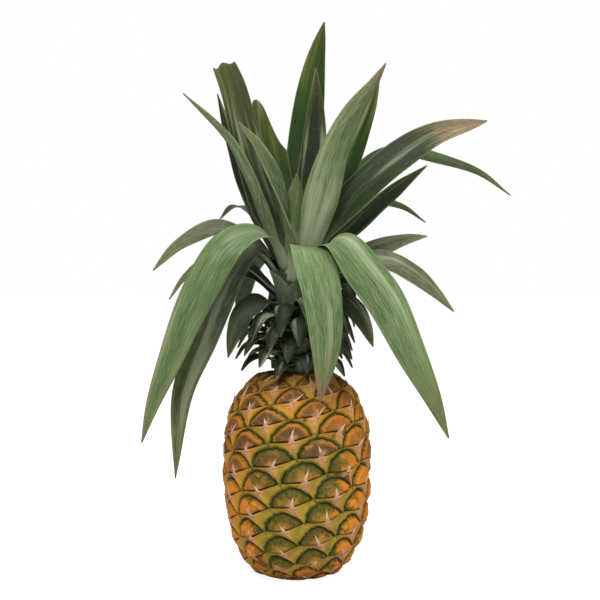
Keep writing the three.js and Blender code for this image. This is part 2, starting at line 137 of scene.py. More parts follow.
def join(pieces: list[Piece], name: str) -> Piece:
    """Joins pieces into one.

    Args:
        pieces: What to join. The first one gives its material slots.
        name: The name of the whole.

    Returns:
        The joined piece.
    """
    pick(pieces[0])
    for piece in pieces[1:]:
        piece.select_set(True)
    bpy.ops.object.join()
    whole = bpy.context.object
    whole.name = whole.data.name = name
    return whole


def report(piece: Piece) -> None:
    """Says a piece's name and face count in the log."""
    log.info("%s: %d faces", piece.name, len(piece.data.polygons))


class Nodes:
    """The node tree of one finish, with short methods for what the finishes have in common."""

    def __init__(self, name: str) -> None:
        """Starts a material with an empty finish.

        Args:
            name: The material's name.
        """
        self.material = bpy.data.materials.new(name)
        self.material.use_nodes = True
        self.tree = self.material.node_tree
        self.shader = self.tree.nodes["Principled BSDF"]

    def give(self, socket: Socket, value: Value) -> None:
        """Links a socket to another node's output, or sets it.

        Args:
            socket: The input.
            value: An output socket, a number or a colour.
        """
        if isinstance(value, Socket):
            self.tree.links.new(value, socket)
        else:
            socket.default_value = value

    def dress(self, name: str, value: Value) -> None:
        """Gives one of the shader's inputs its value or its source."""
        self.give(self.shader.inputs[name], value)

    def math(self, operation: str, first: Value, second: Value = 0.0) -> Socket:
        """Works out a number.

        Args:
            operation: The Math node's operation.
            first: The first value or output.
            second: The second value or output.

        Returns:
            The result's output.
        """
        node = self.tree.nodes.new("ShaderNodeMath")
        node.operation = operation
        self.give(node.inputs[0], first)
        self.give(node.inputs[1], second)
        return node.outputs[0]

    def plus(self, first: Value, second: Value) -> Socket:
        """Adds two numbers."""
        return self.math("ADD", first, second)

    def times(self, first: Value, *others: Value) -> Socket:
        """Multiplies numbers."""
        for other in others:
            first = self.math("MULTIPLY", first, other)
        return first

    def ease(self, value: Value, low: float, high: float, start: float = 0.0, end: float = 1.0) -> Socket:
        """Rises or falls smoothly from start at low to end at high.

        Args:
            value: The output to read.
            low: Where the change starts.
            high: Where it ends.
            start: The result at low.
            end: The result at high.

        Returns:
            The result's output.
        """
        node = self.tree.nodes.new("ShaderNodeMapRange")
        node.interpolation_type = "SMOOTHSTEP"
        self.give(node.inputs["Value"], value)
        for name, number in (("From Min", low), ("From Max", high), ("To Min", start), ("To Max", end)):
            node.inputs[name].default_value = number
        return node.outputs["Result"]

    def blend(self, share: Value, below: Value, above: Value) -> Socket:
        """Lays one colour over another.

        Args:
            share: How much of the upper colour shows.
            below: The colour or output below.
            above: The colour or output above.

        Returns:
            The mixed colour's output.
        """
        node = self.tree.nodes.new("ShaderNodeMix")
        node.data_type = "RGBA"
        self.give(node.inputs["Factor"], share)
        self.give(node.inputs[6], below)
        self.give(node.inputs[7], above)
        return node.outputs[2]

    def coat(self, below: Value, above: Value, value: Value, low: float, high: float,
             most: float = 1.0) -> Socket:
        """Lays one colour over another where a value lies towards high.

        Args:
            below: The colour or output below.
            above: The colour or output above.
            value: The output that decides.
            low: Where the upper colour starts to show.
            high: Where it shows most.
            most: How much of it shows there.

        Returns:
            The mixed colour's output.
        """
        return self.blend(self.ease(value, low, high, 0.0, most), below, above)

    def map(self, name: str) -> tuple[Socket, Socket]:
        """Reads one of the piece's UV maps.

        Args:
            name: The map.

        Returns:
            The outputs of its two numbers.
        """
        node = self.tree.nodes.new("ShaderNodeUVMap")
        node.uv_map = name
        parts = self.tree.nodes.new("ShaderNodeSeparateXYZ")
        self.tree.links.new(node.outputs[0], parts.inputs[0])
        return parts.outputs[0], parts.outputs[1]

    def attribute(self, name: str) -> Socket:
        """Reads a number that the piece's points carry."""
        node = self.tree.nodes.new("ShaderNodeAttribute")
        node.attribute_name = name
        return node.outputs["Fac"]

    def place(self) -> Socket:
        """Gives the object's own coordinates, in metres."""
        return self.tree.nodes.new("ShaderNodeTexCoord").outputs["Object"]

    def height(self) -> Socket:
        """Gives the object's own height, in metres."""
        parts = self.tree.nodes.new("ShaderNodeSeparateXYZ")
        self.tree.links.new(self.place(), parts.inputs[0])
        return parts.outputs[2]

    def vector(self, x: Value, y: Value, z: Value = 0.0) -> Socket:
        """Puts three numbers together."""
        node = self.tree.nodes.new("ShaderNodeCombineXYZ")
        for socket, value in zip(node.inputs, (x, y, z)):
            self.give(socket, value)
        return node.outputs[0]

    def noise(self, where: Socket, scale: float, detail: float = 3.0, rough: float = 0.55) -> Socket:
        """Reads soft noise.

        Args:
            where: The coordinates.
            scale: How fine it is.
            detail: How many finer layers it has.
            rough: How strong they are.

        Returns:
            The noise, around 0.5.
        """
        node = self.tree.nodes.new("ShaderNodeTexNoise")
        self.give(node.inputs["Vector"], where)
        for name, number in (("Scale", scale), ("Detail", detail), ("Roughness", rough)):
            node.inputs[name].default_value = number
        return node.outputs["Fac"]

    def bump(self, height: Socket, strength: float, distance: float) -> None:
        """Raises the surface by a height map.

        Args:
            height: The heights.
            strength: How much of them shows.
            distance: The height of 1, in metres.
        """
        node = self.tree.nodes.new("ShaderNodeBump")
        node.inputs["Strength"].default_value = strength
        node.inputs["Distance"].default_value = distance
        self.give(node.inputs["Height"], height)
        self.dress("Normal", node.outputs[0])


def eye_seed(eyes: np.ndarray) -> np.ndarray:
    """Gives every eye a number of its own, 0 to 1: the far digits of a sine, which look drawn by chance."""
    return np.sin(eyes * 12.9898) * 43758.5453 % 1


@dataclass(frozen=True)
class Barrel:
    """The fruit's mean surface and the spiral on it, as the frame's fruit has them, in millimetres."""

    radius: float = 56.8
    height: float = 165.0
    widest: float = 95.0
    lower_reach: float = 97.0
    lower_power: float = 2.7
    upper_reach: float = 73.0
    upper_power: float = 2.5
    pole_radius: float = 9.0
    eye_rise: float = 1.5
    front_height: float = 84.5
    front_azimuth: float = -84.7
    flat_steps: int = 30
    side_steps: int = 1200
    relief_none: float = 20.0
    relief_full: float = 33.0
    front_swell: float = 11.5
    lean_level: float = 99.0
    lean_bend: float = 0.005

    def radius_at(self, height: np.ndarray) -> np.ndarray:
        """The barrel's radius at each height."""
        low = height < self.widest
        reach = np.where(low, self.lower_reach, self.upper_reach)
        power = np.where(low, self.lower_power, self.upper_power)
        share = np.abs(height - self.widest) / reach
        return self.radius * (1 - share**power) ** (1 / power)

    def outline(self) -> tuple[np.ndarray, np.ndarray, np.ndarray]:
        """Follows the outline from the middle of the base round the side to the middle of the top.

        Returns:
            The radius, the height and the turn at each point, where the turn counts the eyes below it.
        """
        side = self.height * (1 - np.cos(np.linspace(0, math.pi, self.side_steps + 1))) / 2
        around = self.radius_at(side)
        base = np.linspace(self.pole_radius, around[0], self.flat_steps, endpoint=False)
        top = np.linspace(around[-1], self.pole_radius, self.flat_steps + 1)[1:]
        r = np.concatenate([base, around, top])
        z = np.concatenate([np.zeros(len(base)), side, np.full(len(top), self.height)])
        rise = self.eye_rise * np.sqrt(r[1:] / self.radius)
        turn = np.concatenate([[0], np.cumsum(np.hypot(np.diff(r), np.diff(z)) / rise)])
        return r, z, turn

    def front_turn(self) -> float:
        """The turn at the front eye's height."""
        _, z, turn = self.outline()
        return float(turn[np.argmax(z >= self.front_height)])

    def size_at(self, eye: np.ndarray) -> np.ndarray:
        """How large an eye is there, as a share of one at the widest height."""
        r, _, turn = self.outline()
        return np.sqrt(np.interp(eye + self.front_turn(), turn, r) / self.radius)

    def place(self, eye: np.ndarray, azimuth: np.ndarray, relief: np.ndarray) -> np.ndarray:
        """Finds points on the rind.

        Args:
            eye: Eyes along the spiral from the front eye.
            azimuth: Azimuths in degrees.
            relief: Heights over the mean surface, which fade on the flat ends.

        Returns:
            The points, in millimetres.
        """
        r, z, turn = self.outline()
        length = np.hypot(np.diff(r), np.diff(z))
        middle = (turn[1:] + turn[:-1]) / 2
        at = eye + self.front_turn()
        out_r = np.interp(at, middle, np.diff(z) / length)
        out_z = np.interp(at, middle, -np.diff(r) / length)
        here = np.interp(at, turn, r)
        lift = relief * smoothstep(here, self.relief_none, self.relief_full)
        reach = here + lift * out_r
        height = np.interp(at, turn, z)
        turned = np.radians(self.grown(azimuth, height))
        return np.stack([reach * np.cos(turned), reach * np.sin(turned), height + lift * out_z], -1)

    def grown(self, azimuth: np.ndarray, height: np.ndarray) -> np.ndarray:
        """Finds where azimuths of the even spiral ended up as the fruit grew, wider at the front.

        Args:
            azimuth: Azimuths of the even spiral, in degrees.
            height: Their heights.

        Returns:
            The azimuths on the fruit.
        """
        swell = self.front_swell * np.sin(np.radians(azimuth - self.front_azimuth))
        lean = (height - self.lean_level) ** 2 - (self.front_height - self.lean_level) ** 2
        return azimuth + swell + self.lean_bend * lean

    def azimuths(self, eyes: np.ndarray) -> np.ndarray:
        """The azimuth of each eye's middle on the even spiral, in degrees."""
        return self.front_azimuth - GOLDEN_ANGLE * eyes

    def strain(self, eyes: np.ndarray) -> tuple[np.ndarray, np.ndarray]:
        """Tells how the growth stretched and leaned each eye.

        Args:
            eyes: The eyes.

        Returns:
            How many times wider it is, and how far it leans sideways for each millimetre up.
        """
        r, z, turn = self.outline()
        at = eyes + self.front_turn()
        off = np.radians(self.azimuths(eyes) - self.front_azimuth)
        swell = 1 + math.radians(self.front_swell) * np.cos(off)
        lean = 2 * self.lean_bend * (np.interp(at, turn, z) - self.lean_level)
        return swell, np.radians(lean) * np.interp(at, turn, r)


@dataclass(frozen=True)
class EyeCell:
    """The cell that every eye fills: a diamond between neighbours on both spirals, fanned from its bract.

    Sizes are in millimetres on an eye at the widest height. Smaller eyes carry the same cell scaled down.
    Wobbles are the waves of a dome's edge (how many round, and how far out), and wrinkles those on the dome
    (how many round, the shift by the eye's seed, the height, and the shares of the way out between which
    they grow). Edges are distances inside a dome's edge, less than 0 outside.
    """

    barrel: Barrel
    few: int = 8
    many: int = 13
    bow: float = 0.13
    spokes_per_edge: int = 12
    rings: tuple[float, ...] = (0.1, 0.22, 0.34, 0.46, 0.58, 0.69, 0.78, 0.85, 0.905, 0.945, 0.975, 1.0)
    bract_down: float = 2.7
    dome_reach: float = 14.8
    dome_inset: float = 0.955
    squeeze: Span = (0.88, 0.95)
    wobbles: tuple[tuple[int, float], ...] = ((2, 0.5), (3, 0.45), (5, 0.3), (13, 0.34), (21, 0.26))
    wobble_grows: Span = (0.2, 0.6)
    wobble_shift: float = 40.0
    edge_back: float = 0.5
    dome_height: float = 2.9
    dome_fall: float = 1.4
    dome_edge: float = 2.6
    edge_power: float = 2.4
    dome_spread: float = 0.12
    wrinkles: tuple[tuple[float, ...], ...] = ((13, 5, 0.13, 0.25, 0.9), (29, 11, 0.08, 0.5, 1.0))
    skirt_height: float = 2.5
    skirt_power: float = 1.25
    skirt_step: float = 1.5
    keel_height: float = 0.45
    keel_width: float = 2.2
    keel_lean: float = 0.25
    lip_height: float = 0.4
    lip_width: float = 0.8
    slit_depth: float = 0.8
    slit_above: float = 0.85
    slit_width: float = 0.5
    slit_starts: Span = (0.8, 2.2)
    slit_ends: Span = (3.5, 8.5)
    groove: float = -2.1
    slope_width: float = 2.6
    corner_edge: float = -1.6
    rim_edge: float = -0.15
    corner_share: float = 0.35
    settle_from: float = 0.8

    def swing(self, eyes: int) -> float:
        """The shorter turn from an eye to the one so many further up the spiral, in degrees."""
        return (180 - GOLDEN_ANGLE * eyes) % 360 - 180

    def rim(self) -> tuple[np.ndarray, np.ndarray, np.ndarray]:
        """Walks round the cell's rim, anticlockwise from its top corner.

        Returns:
            Eyes up, degrees round, and how near each point is to a corner (0 at a corner, 1 mid-edge).
        """
        share = (1 - np.cos(np.linspace(0, math.pi, self.spokes_per_edge, endpoint=False))) / 2
        hump = 4 * share * (1 - share)
        few = [0.5 + self.bow * hump, 0.5 - share, -0.5 + self.bow * hump, -0.5 + share]
        many = [0.5 - share, -0.5 + self.bow * hump, -0.5 + share, 0.5 + self.bow * hump]
        a, b = np.concatenate(few), np.concatenate(many)
        up = a * self.few + b * self.many
        return up, a * self.swing(self.few) + b * self.swing(self.many), np.tile(hump, 4)

    def template(self) -> dict[str, np.ndarray]:
        """Lays the cell's points out flat.

        Returns:
            For each point (a centre, then ring by ring): x and y in millimetres, the share of the way to
            the rim, its spoke's reach, the height above the bract line, the distance inside the cell's
            margin, the angle about the bract, and whether it is in the dome's half.
        """
        up, round_, _ = self.rim()
        x = np.radians(round_) * self.barrel.radius
        y = up * self.barrel.eye_rise + self.bract_down
        rho = np.array(self.rings)[:, None]
        px, py = rho * x, rho * y
        reach = np.hypot(x, y)
        spokes = len(x)
        left, right = self.spokes_per_edge, 3 * self.spokes_per_edge
        upper = (np.arange(spokes) <= left) | (np.arange(spokes) >= right)
        above = self.above_line(px, py, (x[left], y[left]), (x[right], y[right]))
        columns = {
            "x": px,
            "y": py - self.bract_down,
            "rho": rho + 0 * px,
            "reach": reach + 0 * px,
            "above": np.where(upper, above, -above),
            "inside": (self.dome_inset - rho) * reach,
            "angle": np.arctan2(py, px),
            "upper": upper + 0 * px,
        }
        centre = {"x": 0, "y": -self.bract_down, "rho": 0, "reach": self.dome_reach, "above": 0,
                  "inside": self.dome_reach, "angle": 0, "upper": 1}
        return {key: np.concatenate([[centre[key]], value.ravel()]) for key, value in columns.items()}

    @staticmethod
    def above_line(x: np.ndarray, y: np.ndarray, left: tuple, right: tuple) -> np.ndarray:
        """The distance to the bract line, which runs from the left corner to the bract and on to the right.

        Args:
            x: The points' x, from the bract.
            y: The points' y, from the bract.
            left: The left corner.
            right: The right corner.

        Returns:
            The distances.
        """
        nearest = np.hypot(x, y)
        for corner in (left, right):
            length = math.hypot(*corner)
            along = (x * corner[0] + y * corner[1]) / length
            off = np.abs(x * corner[1] - y * corner[0]) / length
            nearest = np.where(along > 0, np.minimum(nearest, off), nearest)
        return nearest

    def dome(self, cell: dict[str, np.ndarray], eyes: np.ndarray) -> np.ndarray:
        """Gives every eye its own wavy dome edge, upright however the cell leans.

        Args:
            cell: The cell's points.
            eyes: The eyes.

        Returns:
            The distances inside the edge, a row for each eye.
        """
        seed = eye_seed(eyes)[:, None]
        swell, lean = self.barrel.strain(eyes)
        angle, up = cell["angle"][None], cell["y"][None] + self.bract_down
        across = cell["x"][None] * swell[:, None] + up * lean[:, None]
        oval = self.dome_reach - np.hypot(across * self.squeeze[0], up * self.squeeze[1])
        wave = sum(
            size * np.sin(count * angle + self.wobble_shift * seed * (1 + 0.3 * count))
            for count, size in self.wobbles
        )
        grown = smoothstep(cell["rho"][None], *self.wobble_grows)
        return np.minimum(cell["inside"], oval) + (wave - self.edge_back) * grown

    def edges(self, cell: dict[str, np.ndarray], eyes: np.ndarray) -> np.ndarray:
        """Measures how far every point is inside the nearest dome's edge, less than 0 where it is outside.

        A skirt's points are measured to the domes below it, so that it runs on to their grooves, and the
        rims that two cells share get one distance.

        Args:
            cell: The cell's points.
            eyes: The eyes.

        Returns:
            The distances, a row for each eye.
        """
        spokes, edge = 4 * self.spokes_per_edge, self.spokes_per_edge
        rim = {key: value[-spokes:] for key, value in cell.items()}
        own = self.dome(rim, eyes)
        shared = own.copy()
        steps = np.arange(edge)
        shared[:, 2 * edge + steps] = self.dome(rim, eyes - self.few)[:, edge - steps]
        shared[:, edge + steps[1:]] = self.dome(rim, eyes - self.many)[:, 4 * edge - steps[1:]]
        mid_edge = smoothstep(self.rim()[2], 0.0, self.corner_share)
        shared = self.corner_edge + (np.minimum(shared, self.rim_edge) - self.corner_edge) * mid_edge
        rings = len(self.rings)
        rho, reach = cell["rho"][None, 1:], cell["reach"][None, 1:]
        upper = self.dome(cell, eyes)
        settled = upper[:, 1:] + np.tile(shared - own, rings) * smoothstep(rho, self.settle_from, 1.0)
        lower = np.tile(shared, rings) - (1 - rho) * reach
        return np.concatenate([upper[:, :1], np.where(cell["upper"][None, 1:] > 0, settled, lower)], axis=1)

    def relief(self, cell: dict[str, np.ndarray], inside: np.ndarray, seed: np.ndarray) -> np.ndarray:
        """Shapes every eye: a dome over the bract line, and a skirt below that slopes to the eyes beneath.

        Args:
            cell: The cell's points.
            inside: The distances inside the dome's edge, a row for each eye.
            seed: A number for each eye, which varies its form.

        Returns:
            Heights over the mean surface, a row for each eye.
        """
        seed = seed[:, None]
        x, y, rho, above, angle = (cell[key][None] for key in ("x", "y", "rho", "above", "angle"))
        keel_x = self.keel_lean * (-self.bract_down - y)
        keel = self.keel_height * ridge(x - keel_x, self.keel_width) * (1 - rho) * (above < 0)
        lip = self.lip_height * ridge(np.minimum(above, 0), self.lip_width) * (1 - rho**2)
        share = np.clip(1 - inside / self.dome_reach, 0, 1)
        dome = (self.dome_height - self.dome_fall * share**2) * (1 + self.dome_spread * np.sin(seed * 7.1))
        for count, shift, height, start, full in self.wrinkles:
            dome = dome + height * np.sin(angle * count + seed * shift) * smoothstep(share, start, full)
        edge = 1 - (1 - np.clip(inside / self.dome_edge, 0, 1)) ** self.edge_power
        away = 1 - (1 - np.clip(-inside / self.slope_width, 0, 1)) ** 2
        skirt = self.skirt_height * (1 - rho**self.skirt_power) + keel + lip
        lower = self.groove + (skirt - self.groove) * away
        upper = self.groove + np.where(inside > 0, (dome - self.groove) * edge, -self.groove * away)
        side = np.abs(x)
        slit = self.slit_depth * ridge(above - self.slit_above, self.slit_width)
        slit = slit * smoothstep(side, *self.slit_starts) * (1 - smoothstep(side, *self.slit_ends))
        rise = smoothstep(above, 0.0, self.skirt_step) * (rho < 1)
        return lower * (1 - rise) + upper * rise - slit


class RindMaps:
    """What the rind's finish reads at each point: the eye's maps, and noise of four sizes."""

    def __init__(self, nodes: Nodes) -> None:
        """Reads the maps, whose lengths are shares of the rind's map scale.

        Args:
            nodes: The finish's nodes.
        """
        x, self.above = nodes.map("eye_place")
        self.inside, angle = nodes.map("eye_edge")
        ripe, self.browned = nodes.map("eye_tone")
        seed, self.reach = nodes.map("eye_seed")
        place = nodes.place()
        self.side = nodes.math("ABSOLUTE", x)
        self.rays = nodes.noise(nodes.vector(nodes.times(angle, RAYS), self.inside, seed), 1.0, 2.0)
        self.patches = nodes.noise(place, 55.0, 4.0)
        self.soft = nodes.noise(place, 130.0)
        self.fine = nodes.noise(place, 520.0, 5.0, 0.7)
        self.specks = nodes.noise(place, 1500.0, 2.0)
        ripe = nodes.plus(ripe, nodes.ease(self.soft, 0.3, 0.7, -0.3, 0.3))
        self.ripe = nodes.plus(ripe, nodes.ease(x, -0.5, 0.5, -0.1, 0.12))


@dataclass(frozen=True)
class RindFinish:
    """Colours of the rind: green domes in front, orange round the sides, dried bracts and painted shade in
    the grooves.
    """

    green: Colour = paint(112, 98, 24)
    moss: Colour = paint(64, 70, 12)
    olive: Colour = paint(168, 122, 36)
    orange: Colour = paint(230, 142, 30)
    deep_orange: Colour = paint(216, 126, 32)
    gold: Colour = paint(202, 142, 34)
    lime: Colour = paint(166, 146, 38)
    brown: Colour = paint(92, 62, 32)
    dusk: Colour = paint(150, 118, 80)
    bract: Colour = paint(204, 152, 108)
    blush: Colour = paint(150, 80, 50)
    straw: Colour = paint(222, 192, 142)
    wing: Colour = paint(190, 156, 62)
    # Near black-green: the ticks at the domes' edges, and the painted shade in the grooves.
    groove: Colour = paint(36, 46, 12)
    slit: Colour = paint(62, 28, 14)

    def dome(self, nodes: Nodes, maps: RindMaps) -> Socket:
        """Colours the domes: green or orange as they ripen, with browned ones and a mossy rim.

        Args:
            nodes: The finish's nodes.
            maps: The eye's maps.

        Returns:
            The colour's output.
        """
        unripe = nodes.coat(self.moss, self.green, maps.fine, 0.35, 0.65)
        core = nodes.plus(maps.inside, nodes.ease(maps.soft, 0.3, 0.7, -0.14, 0.14))
        unripe = nodes.coat(unripe, self.olive, core, 0.14, 0.5)
        glow = nodes.coat(self.deep_orange, self.orange, maps.fine, 0.3, 0.7)
        glow = nodes.coat(glow, self.gold, maps.inside, 0.2, 0.0, 0.5)
        dome = nodes.coat(unripe, glow, maps.ripe, 0.25, 0.75)
        bruise = nodes.times(
            maps.browned, nodes.ease(maps.inside, 0.03, 0.24), nodes.ease(maps.soft, 0.24, 0.46)
        )
        stain = nodes.coat(self.brown, self.dusk, maps.rays, 0.46, 0.76, 0.42)
        stain = nodes.coat(stain, self.olive, maps.fine, 0.56, 0.7, 0.5)
        dome = nodes.blend(bruise, dome, stain)
        frost = nodes.times(nodes.ease(maps.specks, 0.52, 0.7, 0.0, 0.25), nodes.ease(maps.fine, 0.4, 0.6))
        dome = nodes.blend(frost, dome, self.wing)
        return nodes.coat(dome, self.moss, maps.inside, 0.14, 0.02, 0.6)

    def skirt(self, nodes: Nodes, maps: RindMaps) -> Socket:
        """Colours the skirts under the bract line, gold to lime or orange, and mossy at their edge.

        Args:
            nodes: The finish's nodes.
            maps: The eye's maps.

        Returns:
            The colour's output.
        """
        skirt = nodes.coat(self.gold, self.lime, maps.reach, 0.35, 0.95)
        skirt = nodes.coat(skirt, self.wing, maps.rays, 0.45, 0.66, 0.5)
        skirt = nodes.coat(skirt, self.green, maps.soft, 0.4, 0.65, 0.5)
        ripe_skirt = nodes.coat(self.orange, self.gold, maps.reach, 0.2, 0.9)
        skirt = nodes.coat(skirt, ripe_skirt, maps.ripe, 0.4, 1.1)
        return nodes.coat(skirt, self.moss, maps.inside, -0.2, -0.04, 0.85)

    def bracts(self, nodes: Nodes, maps: RindMaps, colour: Socket, below: Socket) -> Socket:
        """Lays each bract's pale star, its crest along the bract line and the dark slit over that.

        Args:
            nodes: The finish's nodes.
            maps: The eye's maps.
            colour: The skin's colour.
            below: How far a point counts as below the bract line.

        Returns:
            The colour's output.
        """
        star = nodes.plus(maps.side, nodes.ease(maps.rays, 0.35, 0.65, -0.12, 0.12))
        high = nodes.times(nodes.math("ABSOLUTE", maps.above), nodes.ease(below, 0.0, 1.0, 0.9, 0.42))
        near = nodes.plus(star, high)
        colour = nodes.coat(colour, self.bract, near, 0.3, 0.06, 0.85)
        blush = nodes.times(nodes.ease(maps.fine, 0.5, 0.62), nodes.ease(near, 0.34, 0.1), 0.7)
        colour = nodes.blend(blush, colour, self.blush)
        streak = nodes.times(nodes.ease(maps.rays, 0.52, 0.64), nodes.ease(near, 0.4, 0.08), 0.75)
        colour = nodes.blend(streak, colour, self.straw)
        crest = nodes.times(
            nodes.ease(maps.above, -0.055, -0.01),
            nodes.ease(maps.above, 0.03, 0.01),
            nodes.ease(maps.side, 0.85, 0.3, 0.25, 0.75),
        )
        colour = nodes.blend(crest, colour, nodes.coat(self.straw, self.wing, maps.side, 0.08, 0.26))
        crack = nodes.times(
            nodes.ease(maps.above, 0.012, 0.03),
            nodes.ease(maps.above, 0.085, 0.05),
            nodes.ease(maps.side, 0.04, 0.1),
            nodes.ease(maps.side, 0.55, 0.3),
            0.9,
        )
        return nodes.blend(crack, colour, self.slit)

    def grooves(self, nodes: Nodes, maps: RindMaps, colour: Socket) -> Socket:
        """Paints shade in the grooves, ticks the domes' edges, darkens the foot, and browns the top: painted
        shade from the crown.

        Args:
            nodes: The finish's nodes.
            maps: The eye's maps.
            colour: The skin's colour.

        Returns:
            The colour's output.
        """
        tick = nodes.times(
            nodes.ease(maps.rays, 0.54, 0.66),
            nodes.ease(maps.inside, 0.15, 0.04),
            nodes.ease(maps.inside, -0.1, -0.04),
            0.6,
        )
        colour = nodes.blend(tick, colour, self.groove)
        # Painted shade: a dark line along every groove between the eyes, where the rind dips out of the
        # light.
        off_line = nodes.math("ABSOLUTE", nodes.plus(maps.inside, 0.02))
        line = nodes.times(nodes.ease(off_line, 0.055, 0.012), nodes.ease(maps.soft, 0.3, 0.6, 0.55, 1.0))
        colour = nodes.blend(line, colour, self.groove)
        colour = nodes.coat(colour, self.slit, maps.specks, 0.64, 0.76, 0.4)
        crusts = nodes.times(nodes.ease(maps.patches, 0.6, 0.66), nodes.ease(maps.inside, 0.02, -0.1), 0.75)
        colour = nodes.blend(crusts, colour, self.slit)
        height = nodes.plus(nodes.height(), nodes.ease(maps.soft, 0.3, 0.7, -0.006, 0.006))
        # Darker towards the foot.
        colour = nodes.coat(colour, self.slit, height, 0.01, 0.0, 0.5)
        # Painted shade under the crown's leaves, with browned skin: the top turns brown.
        return nodes.coat(colour, self.brown, height, 0.136, 0.164, 0.65)

    def material(self) -> bpy.types.Material:
        """Mixes the finish from the maps that the rind carries.

        Returns:
            The material.
        """
        nodes = Nodes("rind_skin")
        maps = RindMaps(nodes)
        below = nodes.ease(maps.above, 0.02, -0.01)
        outside = nodes.math("MAXIMUM", below, nodes.ease(maps.inside, 0.0, -0.03))
        colour = nodes.blend(outside, self.dome(nodes, maps), self.skirt(nodes, maps))
        colour = self.bracts(nodes, maps, colour, below)
        nodes.dress("Base Color", self.grooves(nodes, maps, colour))
        nodes.dress("Roughness", nodes.ease(maps.fine, 0.3, 0.7, 0.42, 0.66))
        nodes.dress("Specular IOR Level", SHEEN)
        nodes.bump(nodes.plus(nodes.times(maps.fine, 0.6), nodes.times(maps.rays, 0.6)), 0.55, 0.0012)
        return nodes.material


